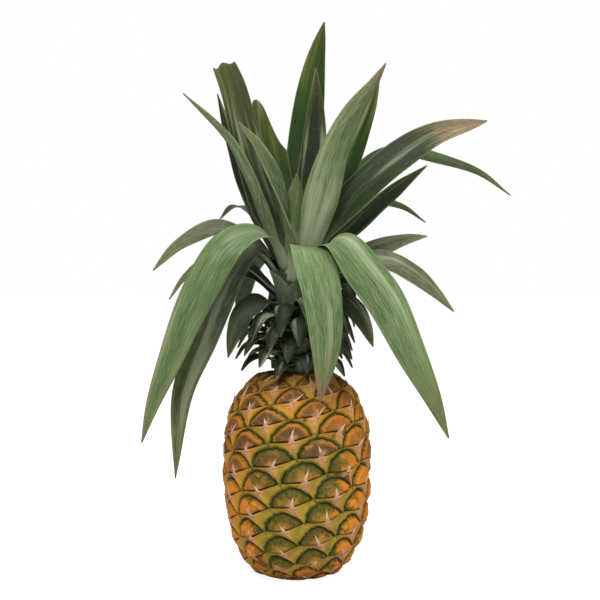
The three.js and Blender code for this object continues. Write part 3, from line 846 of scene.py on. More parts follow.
@dataclass(frozen=True)
class Rind:
    """The skin of the fruit, one closed mesh of all its eyes.

    A green band is the azimuth of its middle, and how far from there it starts to ripen and is ripe.
    """

    barrel: Barrel
    cell: EyeCell
    finish: RindFinish
    map_scale: float = 20.0
    seed_scale: float = 9.0
    green_bands: tuple[tuple[float, float, float], ...] = ((-88.0, 16.0, 58.0), (98.0, 20.0, 72.5))
    green_top: Span = (92.0, 140.0)
    ripe_foot: Span = (26.0, 8.0)
    foot_ripeness: float = 0.75
    browned_up: Span = (70.0, 112.0)
    browned_side: Span = (8.0, 40.0)

    def eyes(self) -> np.ndarray:
        """The numbers of all eyes whose whole cell is on the barrel."""
        tallest = (self.cell.few + self.cell.many) / 2
        last = self.barrel.outline()[2][-1]
        front = self.barrel.front_turn()
        return np.arange(math.ceil(tallest - front), math.floor(last - front - tallest) + 1)

    def ripeness(self, points: np.ndarray) -> np.ndarray:
        """How orange the skin is: green down the front and in one band behind, ripe round the sides.

        Args:
            points: Points on the rind, in millimetres.

        Returns:
            0 for green to 1 for orange.
        """
        azimuth = np.degrees(np.arctan2(points[..., 1], points[..., 0]))
        ripe = np.ones(azimuth.shape)
        for middle, start, full in self.green_bands:
            off = np.abs((azimuth - middle + 180) % 360 - 180)
            ripe = np.minimum(ripe, smoothstep(off, start, full))
        ripe = np.maximum(ripe, smoothstep(points[..., 2], *self.green_top))
        return np.maximum(ripe, self.foot_ripeness * smoothstep(points[..., 2], *self.ripe_foot))

    def build(self) -> Piece:
        """Builds the rind.

        Returns:
            The piece, replacing the frame's fruit.
        """
        cell = self.cell.template()
        eyes = self.eyes()
        seed = eye_seed(eyes)
        up = eyes[:, None] + cell["y"] / self.barrel.eye_rise
        azimuth = self.barrel.azimuths(eyes)[:, None] + np.degrees(cell["x"] / self.barrel.radius)
        inside = self.cell.edges(cell, eyes)
        relief = self.cell.relief(cell, inside, seed) * self.barrel.size_at(up)
        points = self.barrel.place(up, azimuth, relief)
        points[..., 2] = np.clip(points[..., 2], 0, self.barrel.height)
        maps = {
            "eye_place": (cell["x"] / self.map_scale, cell["above"] / self.map_scale),
            "eye_edge": (inside / self.map_scale, cell["angle"] / (2 * math.pi)),
            "eye_tone": self.tones(points, seed, (inside > 0) & (cell["upper"] > 0)),
            "eye_seed": (self.seed_scale * seed[:, None], cell["rho"]),
        }
        piece = self.mesh(points * MM, self.faces(*inside.shape), maps)
        piece.data.materials.append(self.finish.material())
        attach(piece, "root")
        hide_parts("fruit")
        return piece

    def tones(self, points: np.ndarray, seed: np.ndarray, dome: np.ndarray) -> tuple[np.ndarray, np.ndarray]:
        """Ripeness and browning of every point of every eye.

        Args:
            points: The points, eye by eye.
            seed: A number for each eye.
            dome: Which points are on a dome, where the eye's own tone shows.

        Returns:
            The two numbers for each point.
        """
        luck = seed[:, None] - 0.5
        ripe = self.ripeness(points) + 0.5 * luck * dome
        browned = 0.15 + 0.95 * smoothstep(points[..., 2], *self.browned_up) + 0.7 * luck
        browned = browned - 0.6 * smoothstep(points[..., 0], *self.browned_side)
        return np.clip(ripe, 0, 1.15), np.clip(browned, 0, 1)

    def faces(self, eyes: int, size: int) -> np.ndarray:
        """Lists the faces of all cells as four corners, the last two alike where it is a triangle.

        Args:
            eyes: How many cells there are.
            size: How many points a cell has.

        Returns:
            The corners' point numbers.
        """
        spokes = 4 * self.cell.spokes_per_edge
        here = 1 + np.arange(spokes)
        after = 1 + (np.arange(spokes) + 1) % spokes
        middle = np.stack([0 * here, here, after, after], -1)
        strips = [
            np.stack([here, here + spokes, after + spokes, after], -1) + ring * spokes
            for ring in range(len(self.cell.rings) - 1)
        ]
        one = np.concatenate([middle, *strips])
        return (one[None] + size * np.arange(eyes)[:, None, None]).reshape(-1, 4)

    def mesh(self, points: np.ndarray, faces: np.ndarray,
             maps: dict[str, tuple[np.ndarray, np.ndarray]]) -> Piece:
        """Makes the mesh, merges the rims that neighbours share and closes the flat ends.

        Args:
            points: The points, eye by eye, in metres.
            faces: Their faces.
            maps: The UV maps, two numbers for each point.

        Returns:
            The piece.
        """
        corners = [tuple(f[:3]) if f[2] == f[3] else tuple(f) for f in faces.tolist()]
        data = bpy.data.meshes.new("rind")
        data.from_pydata(points.reshape(-1, 3).tolist(), [], corners)
        at = np.fromiter((c for face in corners for c in face), int)
        for name, pair in maps.items():
            values = np.stack([np.broadcast_to(numbers, points.shape[:-1]) for numbers in pair], -1)
            layer = data.uv_layers.new(name=name)
            layer.data.foreach_set("uv", values.reshape(-1, 2)[at].astype(np.float32).ravel())
        piece = bpy.data.objects.new("rind", data)
        bpy.context.scene.collection.objects.link(piece)
        work = bmesh.new()
        work.from_mesh(data)
        bmesh.ops.remove_doubles(work, verts=work.verts, dist=2e-6)
        foot, top = (work.verts.new((0, 0, height)) for height in (0.0, self.barrel.height * MM))
        for edge in [edge for edge in work.edges if edge.is_boundary]:
            low = edge.verts[0].co.z < self.barrel.widest * MM
            work.faces.new((*edge.verts, foot if low else top))
        bmesh.ops.recalc_face_normals(work, faces=work.faces)
        work.to_mesh(data)
        work.free()
        pick(piece)
        bpy.ops.object.shade_smooth()
        return piece


@dataclass(frozen=True)
class SpineFinish:
    """Dried bract tips: pink-tan at the foot, cream along the keel and brown at the point."""

    foot: Colour = paint(196, 142, 108)
    keel: Colour = paint(222, 192, 152)
    tip: Colour = paint(96, 66, 44)

    def material(self) -> bpy.types.Material:
        """Mixes the finish along the spine.

        Returns:
            The material.
        """
        nodes = Nodes("dried_bract")
        across, along = nodes.map("UVMap")
        fibre = nodes.noise(nodes.vector(nodes.times(across, 9.0), along), 3.0)
        colour = nodes.coat(self.foot, self.keel, along, 0.1, 0.6)
        colour = nodes.coat(colour, self.tip, along, 0.7, 1.0, 0.9)
        colour = nodes.coat(colour, self.foot, fibre, 0.5, 0.75, 0.5)
        nodes.dress("Base Color", colour)
        nodes.dress("Roughness", 0.7)
        nodes.bump(fibre, 0.3, 0.0004)
        return nodes.material


@dataclass(frozen=True)
class Spines:
    """The dried spine of every eye, modelled once and laid over each dome."""

    barrel: Barrel
    rind: Rind
    finish: SpineFinish
    length: float = 10.5
    half_width: float = 2.5
    foot_down: float = 3.4
    foot_relief: float = 2.5
    lift: float = 1.5
    thickness: float = 0.35
    rows: int = 7
    smallest_eye: float = 0.68
    beats: Point = (3.17, 5.71, 8.33)
    phases: Point = (0.3, 1.7, 2.9)
    lean: float = 8.0
    lean_spread: float = 24.0
    curl: float = 2.4

    def model(self) -> Piece:
        """Models one spine flat, its foot at the origin and its point up +Y, in millimetres.

        Returns:
            The pattern piece.
        """
        clear_selection()
        bpy.ops.mesh.primitive_grid_add(x_subdivisions=2, y_subdivisions=self.rows, size=1, calc_uvs=True)
        spine = bpy.context.object
        spine.name = "spine_pattern"
        for vertex in spine.data.vertices:
            across, share = vertex.co.x * 2, vertex.co.y + 0.5
            waist = (1 - share) ** 1.5 * (1 - 0.3 * math.sin(math.pi * share)) + 0.05
            rise = self.lift * share**1.8 + (0.5 - 0.9 * abs(across)) * (1 - share)
            vertex.co = (across * self.half_width * waist, share * self.length, rise)
        wall = spine.modifiers.new("wall", "SOLIDIFY")
        wall.thickness = self.thickness
        wall.offset = 0
        apply_modifiers(spine)
        return spine

    def build(self) -> Piece:
        """Copies the spine to every eye, leaning and curling each a little differently.

        Returns:
            The piece with all spines.
        """
        pattern = self.model()
        eyes = self.rind.eyes()
        flat = np.array([vertex.co for vertex in pattern.data.vertices])
        copies = []
        for eye, azimuth, size in zip(eyes, self.barrel.azimuths(eyes), self.barrel.size_at(eyes)):
            if size < self.smallest_eye:
                continue
            luck = np.sin(eye * np.array(self.beats) + np.array(self.phases))
            copy = pattern.copy()
            copy.data = pattern.data.copy()
            bpy.context.scene.collection.objects.link(copy)
            places = self.lay(flat, eye, azimuth, size, luck)
            copy.data.vertices.foreach_set("co", (places * MM).astype(np.float32).ravel())
            copies.append(copy)
        bpy.data.objects.remove(pattern)
        piece = join(copies, "bract_tips")
        piece.data.materials.append(self.finish.material())
        bpy.ops.object.shade_smooth()
        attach(piece, "root")
        return piece

    def lay(self, flat: np.ndarray, eye: int, azimuth: float, size: float, luck: np.ndarray) -> np.ndarray:
        """Lays the pattern's points over one eye.

        Args:
            flat: The pattern's points.
            eye: The eye.
            azimuth: Its azimuth in degrees.
            size: Its size, as a share of the largest.
            luck: Three numbers from -1 to 1 for its lean, its length and its curl.

        Returns:
            The points on the fruit, in millimetres.
        """
        along = flat[:, 1] * (0.95 + 0.32 * luck[1])
        share = flat[:, 1] / self.length
        lean = math.radians(self.lean + self.lean_spread * luck[0])
        ragged = 0.5 * np.sin(flat[:, 1] * 1.7 + 9 * luck[1]) * np.sign(flat[:, 0]) * (1 - share)
        bent = self.curl * luck[2] * share**2
        x = (flat[:, 0] + ragged) * math.cos(lean) + along * math.sin(lean) + bent
        y = along * math.cos(lean) - flat[:, 0] * math.sin(lean) - self.foot_down
        relief = (self.foot_relief + flat[:, 2] * (0.9 + 0.1 * luck[2])) * size
        up = y / self.barrel.eye_rise
        return self.barrel.place(eye + up, azimuth + np.degrees(x / self.barrel.radius), relief)


@dataclass(frozen=True)
class LeafFinish:
    """One face of a leaf: green ribs along it, grey scurf, a thin margin, and straw where it has dried.

    Scurf, aged and bloom are the most that shows of the silver threads, of the olive towards the end and of
    the silver at the root. Gloss is the roughness.
    """

    name: str
    deep: Colour
    light: Colour
    scurf: float
    gloss: float
    aged: float = 0.55
    bloom: float = 0.5
    margin: Colour = paint(132, 140, 92)
    silver: Colour = paint(184, 192, 160)
    olive: Colour = paint(112, 108, 54)
    straw: Colour = paint(158, 140, 104)
    rust: Colour = paint(84, 64, 46)

    def streaks(self, nodes: Nodes, fine: float, long: float, detail: float, rough: float = 0.55) -> Socket:
        """Reads noise that is drawn out along the blade.

        Args:
            nodes: The finish's nodes.
            fine: How fine it is across.
            long: How fine it is along.
            detail: How many finer layers it has.
            rough: How strong they are.

        Returns:
            The noise, around 0.5.
        """
        across, along = nodes.map("UVMap")
        where = nodes.vector(nodes.times(across, fine), nodes.times(along, long), nodes.attribute("luck"))
        return nodes.noise(where, 1.0, detail, rough)

    def material(self) -> bpy.types.Material:
        """Mixes the finish along the blade.

        Returns:
            The material.
        """
        nodes = Nodes(self.name)
        across, along = nodes.map("UVMap")
        side = nodes.math("ABSOLUTE", nodes.math("SUBTRACT", nodes.times(across, 2.0), 1.0))
        bands = self.streaks(nodes, 2.6, 1.1, 2.0)
        ribs = self.streaks(nodes, 34.0, 1.6, 4.0, 0.7)
        threads = self.streaks(nodes, 130.0, 16.0, 3.0)
        cloud = nodes.noise(nodes.place(), 26.0)
        grain = nodes.noise(nodes.place(), 900.0)

        colour = nodes.coat(self.deep, self.light, ribs, 0.24, 0.76)
        colour = nodes.coat(colour, self.deep, cloud, 0.4, 0.66, 0.6)
        colour = nodes.coat(colour, self.deep, bands, 0.5, 0.3, 0.75)
        colour = nodes.coat(colour, self.silver, bands, 0.52, 0.7, 0.5)
        colour = nodes.coat(colour, self.silver, along, 0.24, 0.04, self.bloom)
        thick = nodes.ease(cloud, 0.25, 0.6, 0.4, 1.0)
        scurf = nodes.times(nodes.ease(threads, 0.45, 0.72), thick, self.scurf)
        colour = nodes.blend(scurf, colour, self.silver)
        colour = nodes.coat(colour, self.margin, side, 0.92, 0.985, 0.6)
        colour = nodes.coat(colour, self.silver, grain, 0.6, 0.75, 0.18)
        ageing = nodes.plus(along, nodes.ease(bands, 0.3, 0.7, -0.2, 0.2))
        colour = nodes.coat(colour, self.olive, ageing, 0.55, 1.1, self.aged)
        wither = nodes.plus(nodes.attribute("dryness"), nodes.ease(ribs, 0.3, 0.7, -0.22, 0.22))
        straw = nodes.coat(self.rust, self.straw, threads, 0.4, 0.62)
        nodes.dress("Base Color", nodes.coat(colour, straw, wither, 0.35, 0.6))
        nodes.dress("Roughness", nodes.ease(threads, 0.3, 0.7, self.gloss - 0.06, self.gloss + 0.1))
        nodes.dress("Specular IOR Level", SHEEN)
        nodes.bump(nodes.plus(nodes.times(ribs, 0.6), nodes.times(threads, 0.4)), 0.4, 0.0007)
        return nodes.material


class LeafLook(Enum):
    """What a leaf looks like, as the finishes of its upper and its under face."""

    FRESH = (
        LeafFinish("fresh_upper", paint(60, 90, 42), paint(120, 142, 86), 0.55, 0.38),
        LeafFinish("fresh_under", paint(58, 84, 40), paint(112, 132, 84), 0.5, 0.42),
    )
    BRIGHT = (
        LeafFinish("bright_upper", paint(22, 48, 8), paint(52, 86, 18), 0.05, 0.45),
        LeafFinish("bright_under", paint(46, 76, 32), paint(80, 110, 50), 0.2, 0.42),
    )
    # Dark greens for leaves that lie behind and under others: painted shade over their own green.
    DEEP = (
        LeafFinish("deep_shaded_upper", paint(18, 32, 10), paint(46, 62, 24), 0.1, 0.48, 0.4, 0.1),
        LeafFinish("deep_shaded_under", paint(28, 44, 20), paint(64, 82, 44), 0.25, 0.48, 0.4, 0.2),
    )
    GREY = (
        LeafFinish("grey_upper", paint(40, 58, 28), paint(84, 100, 56), 0.6, 0.42),
        LeafFinish("grey_under", paint(50, 72, 32), paint(116, 134, 84), 0.75, 0.46),
    )
    OLIVE = (
        LeafFinish("olive_upper", paint(48, 56, 34), paint(108, 112, 76), 0.6, 0.42),
        LeafFinish("olive_under", paint(66, 76, 52), paint(126, 130, 98), 0.6, 0.46),
    )
    # Very dark greens for the small collar leaves: their own dark green, darkened further as painted shade
    # under the long leaves.
    COLLAR = (
        LeafFinish("collar_shaded_upper", paint(14, 26, 12), paint(32, 48, 24), 0.08, 0.4, 0.1, 0.0),
        LeafFinish("collar_shaded_under", paint(14, 26, 12), paint(32, 46, 24), 0.12, 0.4, 0.1, 0.0),
    )
    SHEATH = (
        LeafFinish("sheath_upper", paint(22, 34, 18), paint(56, 70, 42), 0.25, 0.46, 0.2, 0.2),
        LeafFinish("sheath_under", paint(44, 56, 36), paint(108, 118, 92), 0.7, 0.5, 0.2, 0.0),
    )

    def materials(self) -> list[bpy.types.Material]:
        """The look's two materials, made at their first use."""
        return [bpy.data.materials.get(finish.name) or finish.material() for finish in self.value]


@dataclass(frozen=True)
class Blade:
    """A channelled blade along a smooth curve, in millimetres, as the frame's leaves have it.

    It starts with the azimuth that the underside of its root faces, its widest, how deep its edges fold up
    (a share of the half width) and the points of its curve. Twist is in degrees by the tip, blunt means a
    broken tip, outer is the channel past the bend (less than 0 where the edges fold down), taper is how late
    it narrows, and slope is how much of its length is torn off one edge.
    """

    faces: float
    width: float
    channel: float
    path: tuple[Point, ...]
    twist: float = 0.0
    blunt: bool = False
    outer: float | None = None
    taper: float = 2.2
    slope: float = 0.0
    fine_steps: int = 400
    root_width: float = 0.55
    widest_at: float = 0.33
    taper_curve: float = 0.85
    blunt_taper: float = 0.32
    tip_width: float = 1.2
    fold: float = 1.35

    def curve(self, count: int) -> tuple[np.ndarray, np.ndarray]:
        """Follows the curve at equal steps of its length.

        Args:
            count: How many places to give.

        Returns:
            The places and the directions along the curve there.
        """
        points = np.array(self.path, float)
        ends = np.vstack([2 * points[0] - points[1], points, 2 * points[-1] - points[-2]])
        spans = len(points) - 1
        at = np.linspace(0, spans, self.fine_steps + 1)
        span = np.minimum(at.astype(int), spans - 1)
        t = (at - span)[:, None]
        before, start, end, after = (ends[span + i] for i in range(4))
        leave, arrive = (end - before) / 2, (after - start) / 2
        fine = start + leave * t + (3 * (end - start) - 2 * leave - arrive) * t**2
        fine += (2 * (start - end) + leave + arrive) * t**3
        lengths = np.concatenate([[0], np.cumsum(np.linalg.norm(np.diff(fine, axis=0), axis=1))])
        wanted = np.linspace(0, lengths[-1], count)
        places = np.stack([np.interp(wanted, lengths, fine[:, axis]) for axis in range(3)], -1)
        along = np.gradient(places, axis=0)
        return places, along / np.linalg.norm(along, axis=1)[:, None]

    def sections(self, count: int) -> tuple[np.ndarray, np.ndarray, np.ndarray]:
        """Carries the blade's cross direction along its curve.

        Args:
            count: How many sections to give.

        Returns:
            The middles, the directions to the side and the directions to the upper face.
        """
        places, along = self.curve(count)
        facing = math.radians(self.faces)
        side = np.array([-math.sin(facing), math.cos(facing), 0.0])
        sides, inners = [], []
        for i in range(count):
            share = i / (count - 1)
            side = side - along[i] * side.dot(along[i])
            side = side / np.linalg.norm(side)
            turn = math.radians(self.twist * share * (2 - share))
            turned = side * math.cos(turn) + np.cross(along[i], side) * math.sin(turn)
            sides.append(turned)
            inners.append(np.cross(along[i], turned))
        return places, np.array(sides), np.array(inners)

    def half_widths(self, share: np.ndarray) -> np.ndarray:
        """Half the blade's width at each share of its length."""
        grown = self.root_width + (1 - self.root_width) * smoothstep(share, 0, self.widest_at)
        end = share**self.taper
        taper = 1 - self.blunt_taper * end if self.blunt else (1 - end) ** self.taper_curve
        return np.maximum(self.tip_width, self.width * grown * taper) / 2

    def channels(self, share: np.ndarray) -> np.ndarray:
        """How deep the edges fold up at each share of the length, less than 0 where they fold down."""
        outer = self.channel if self.outer is None else self.outer
        return self.channel + (outer - self.channel) * smoothstep(share, 0.1, 0.4)


@dataclass(frozen=True)
class LeafBuild:
    """How a blade becomes a leaf: its mesh's fineness, its thickness and how it ages."""

    rows: int = 44
    fine_rows: int = 660
    columns: int = 8
    thickness: float = 1.5
    edge_share: float = 0.4
    smoothing: int = 1
    ripple: float = 0.5
    ripple_waves: float = 19.0
    torn_from: float = 0.97
    torn_depth: float = 2.2
    torn_waves: float = 5.0
    slope_side: Span = (-0.15, 1.0)

    def grow(self, name: str, blade: Blade, look: LeafLook, luck: float, dry: Span) -> Piece:
        """Grows a leaf from a flat sheet.

        Args:
            name: The piece's name.
            blade: Its form.
            look: Its two finishes.
            luck: A number that sets it apart from its neighbours.
            dry: The shares of its length between which it turns to straw.

        Returns:
            The leaf.
        """
        clear_selection()
        bpy.ops.mesh.primitive_grid_add(
            x_subdivisions=self.columns, y_subdivisions=self.rows, size=1, calc_uvs=True
        )
        leaf = bpy.context.object
        leaf.name = leaf.data.name = name
        flat = np.zeros(len(leaf.data.vertices) * 3, np.float32)
        leaf.data.vertices.foreach_get("co", flat)
        flat = flat.reshape(-1, 3)
        across = -2 * flat[:, 0]
        row = np.rint((flat[:, 1] + 0.5) * self.rows).astype(int)
        points = self.shape(blade, across, row, luck) * MM
        leaf.data.vertices.foreach_set("co", points.astype(np.float32).ravel())
        self.mark(leaf, across, row / self.rows, luck, dry)
        for finish in look.materials():
            leaf.data.materials.append(finish)
        self.thicken(leaf)
        return leaf

    def shape(self, blade: Blade, across: np.ndarray, row: np.ndarray, luck: float) -> np.ndarray:
        """Bends the flat sheet into the blade.

        Args:
            blade: The form.
            across: Where each point is across the blade, -1 to 1.
            row: Which section it is in.
            luck: A number that varies the ripple.

        Returns:
            The points, in millimetres.
        """
        places, sides, inners = blade.sections(self.fine_rows + 1)
        share = row / self.rows * (1 - blade.slope * smoothstep(-across, *self.slope_side))
        row = np.rint(share * self.fine_rows).astype(int)
        reach = blade.half_widths(share)
        ripples = np.sin(share * self.ripple_waves + luck * 6 + 1.3 * np.sign(across)) * across**4
        lift = blade.channels(share) * reach * np.abs(across) ** blade.fold
        lift = lift + self.ripple * ripples * np.minimum(reach / 8, 1)
        points = places[row] + sides[row] * (across * reach)[:, None] + inners[row] * lift[:, None]
        if blade.blunt:
            torn = self.torn_depth * np.sin(across * self.torn_waves + luck)
            torn = torn * smoothstep(share, self.torn_from, 1.0)
            along = np.gradient(places, axis=0)[row]
            points = points - torn[:, None] * along / np.linalg.norm(along, axis=1)[:, None]
        return points

    def mark(self, leaf: Piece, across: np.ndarray, share: np.ndarray, luck: float, dry: Span) -> None:
        """Notes thickness and age on the leaf's points.

        Args:
            leaf: The leaf.
            across: Where each point is across the blade, -1 to 1.
            share: Its share of the length.
            luck: The leaf's own number.
            dry: The shares of its length between which it turns to straw.
        """
        dryness = smoothstep(share + 0.04 * np.abs(across), *dry)
        for name, values in (("dryness", dryness), ("luck", np.full(len(share), luck))):
            layer = leaf.data.attributes.new(name, "FLOAT", "POINT")
            layer.data.foreach_set("value", values.astype(np.float32))
        flesh = leaf.vertex_groups.new(name="flesh")
        fullness = (1 - np.abs(across) ** 2.5) * (1 - 0.6 * share**3)
        for index, weight in enumerate(fullness):
            flesh.add([index], float(weight), "REPLACE")

    def thicken(self, leaf: Piece) -> None:
        """Gives the sheet its wall and rounds it."""
        wall = leaf.modifiers.new("wall", "SOLIDIFY")
        wall.thickness = self.thickness * MM
        wall.offset = 0
        wall.vertex_group = "flesh"
        wall.thickness_vertex_group = self.edge_share
        wall.material_offset = 1
        wall.use_even_offset = False
        round_ = leaf.modifiers.new("round", "SUBSURF")
        round_.levels = round_.render_levels = self.smoothing
        apply_modifiers(leaf)
        leaf.vertex_groups.clear()
        bpy.ops.object.shade_smooth()


@dataclass(frozen=True)
class CrownStem:
    """The stem with its collar of small recurved leaves and the leaf bases that sheathe it above them.

    Rings are heights and radii. A pair of sizes is for the lowest leaf and the highest, but the two channels
    are before the bend and past it. Crests and tips are shares of a leaf's length, and a dry pair tells
    between which shares of its length it turns to straw, which starts sooner on every fourth collar leaf.
    """

    rings: tuple[Span, ...] = ((165.4, 18), (185, 19), (215, 16.5), (245, 12), (266, 7.5), (278, 2))
    collar_count: int = 40
    collar_start: float = -110.0
    collar_heights: Span = (167.5, 212.0)
    collar_lengths: Span = (36.0, 42.0)
    collar_widths: Span = (19.0, 22.0)
    collar_crests: Span = (0.2, 0.34)
    collar_tips: Span = (-0.16, -0.3)
    collar_channels: Span = (0.25, -0.34)
    collar_sunk: float = 3.0
    collar_dry: Span = (1.0, 1.3)
    collar_dried: Span = (0.85, 1.1)
    dried_each: int = 4
    collar_build: LeafBuild = LeafBuild(rows=12, columns=6, thickness=2.4, ripple=0.3)
    sheath_count: int = 10
    sheath_start: float = -96.0
    sheath_heights: Span = (206.0, 236.0)
    sheath_length: float = 30.0
    sheath_width: float = 25.0
    sheath_channel: float = 0.45
    sheath_sunk: float = 2.0
    sheath_dry: Span = (0.95, 1.2)
    sheath_build: LeafBuild = LeafBuild(rows=12, columns=8, thickness=2.0, ripple=0.4)

    def radius(self, height: float) -> float:
        """The stem's radius at a height."""
        return float(np.interp(height, [h for h, _ in self.rings], [r for _, r in self.rings]))

    def core(self) -> Piece:
        """Extrudes the stem from a circle, ring by ring.

        Returns:
            The core.
        """
        clear_selection()
        first = self.rings[0]
        bpy.ops.mesh.primitive_circle_add(
            vertices=32, radius=first[1] * MM, fill_type="NGON", location=(0, 0, first[0] * MM)
        )
        core = bpy.context.object
        settle(core)
        bpy.ops.object.mode_set(mode="EDIT")
        bpy.ops.mesh.select_all(action="SELECT")
        for (low, before), (high, after) in zip(self.rings, self.rings[1:]):
            bpy.ops.mesh.extrude_region_move(TRANSFORM_OT_translate={"value": (0, 0, (high - low) * MM)})
            growth = after / before
            bpy.ops.transform.resize(value=(growth, growth, 1), center_override=(0, 0, high * MM))
        bpy.ops.mesh.select_all(action="SELECT")
        bpy.ops.mesh.normals_make_consistent(inside=False)
        bpy.ops.object.mode_set(mode="OBJECT")
        for finish in LeafLook.SHEATH.materials():
            core.data.materials.append(finish)
        bpy.ops.object.shade_smooth()
        return core

    def spray(self, places: list[tuple[float, float]], azimuth: float, height: float, length: float,
              root: float, swing: float = 0.0) -> tuple[Point, ...]:
        """Runs a path out of the stem.

        Args:
            places: Shares of the length outwards and upwards.
            azimuth: Where it leaves the stem, in degrees.
            height: How high it leaves.
            length: The leaf's length.
            root: The radius at which it starts.
            swing: How far it sways sideways, in degrees.

        Returns:
            The path.
        """
        path = []
        for out, up in places:
            reach = root + out * length
            turn = math.radians(azimuth + swing * out)
            path.append((reach * math.cos(turn), reach * math.sin(turn), height + up * length))
        return tuple(path)

    def collar(self, i: int) -> Blade:
        """One of the small recurved leaves, longer and steeper the higher it grows."""
        share = i / (self.collar_count - 1)
        azimuth = self.collar_start - GOLDEN_ANGLE * i
        sway = math.sin(2.4 * i)
        height = between(self.collar_heights, share)
        length = between(self.collar_lengths, share) * (1 + 0.07 * sway)
        crest = between(self.collar_crests, share)
        tip = between(self.collar_tips, share) + 0.06 * sway
        places = [(0, 0), (0.36, crest), (0.66, 0.7 * crest), (0.84, tip)]
        root = self.radius(height) - self.collar_sunk
        path = self.spray(places, azimuth, height, length, root, 6 * sway)
        channel, outer = self.collar_channels
        return Blade(azimuth, between(self.collar_widths, share), channel, path, outer=outer)

    def sheath(self, i: int) -> Blade:
        """One of the leaf bases that wrap the stem and flare at the top."""
        azimuth = self.sheath_start - GOLDEN_ANGLE * i
        height = between(self.sheath_heights, i / (self.sheath_count - 1))
        places = [(0, 0), (0.1, 0.36), (0.2, 0.7), (0.36, 1)]
        root = self.radius(height) - self.sheath_sunk
        path = self.spray(places, azimuth, height, self.sheath_length, root)
        return Blade(azimuth, self.sheath_width, self.sheath_channel, path)

    def build(self) -> Piece:
        """Builds the stem with all its small leaves.

        Returns:
            The piece, replacing the frame's crown stem.
        """
        parts = [self.core()]
        for i in range(self.collar_count):
            luck = math.sin(1.9 * i)
            dry = self.collar_dry if i % self.dried_each else self.collar_dried
            leaf = self.collar_build.grow(f"collar_{i}", self.collar(i), LeafLook.COLLAR, luck, dry)
            parts.append(leaf)
        for i in range(self.sheath_count):
            base = self.sheath(i)
            parts.append(
                self.sheath_build.grow(f"sheath_{i}", base, LeafLook.SHEATH, 0.37 * i, self.sheath_dry)
            )
        piece = join(parts, "crown_core")
        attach(piece, "root")
        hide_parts("crown_stem")
        return piece


@dataclass(frozen=True)
class Leaf(Blade):
    """A long leaf: a blade, its look and the shares of its length between which it turns to straw."""

    look: LeafLook = LeafLook.FRESH
    dry: Span = (0.97, 1.15)


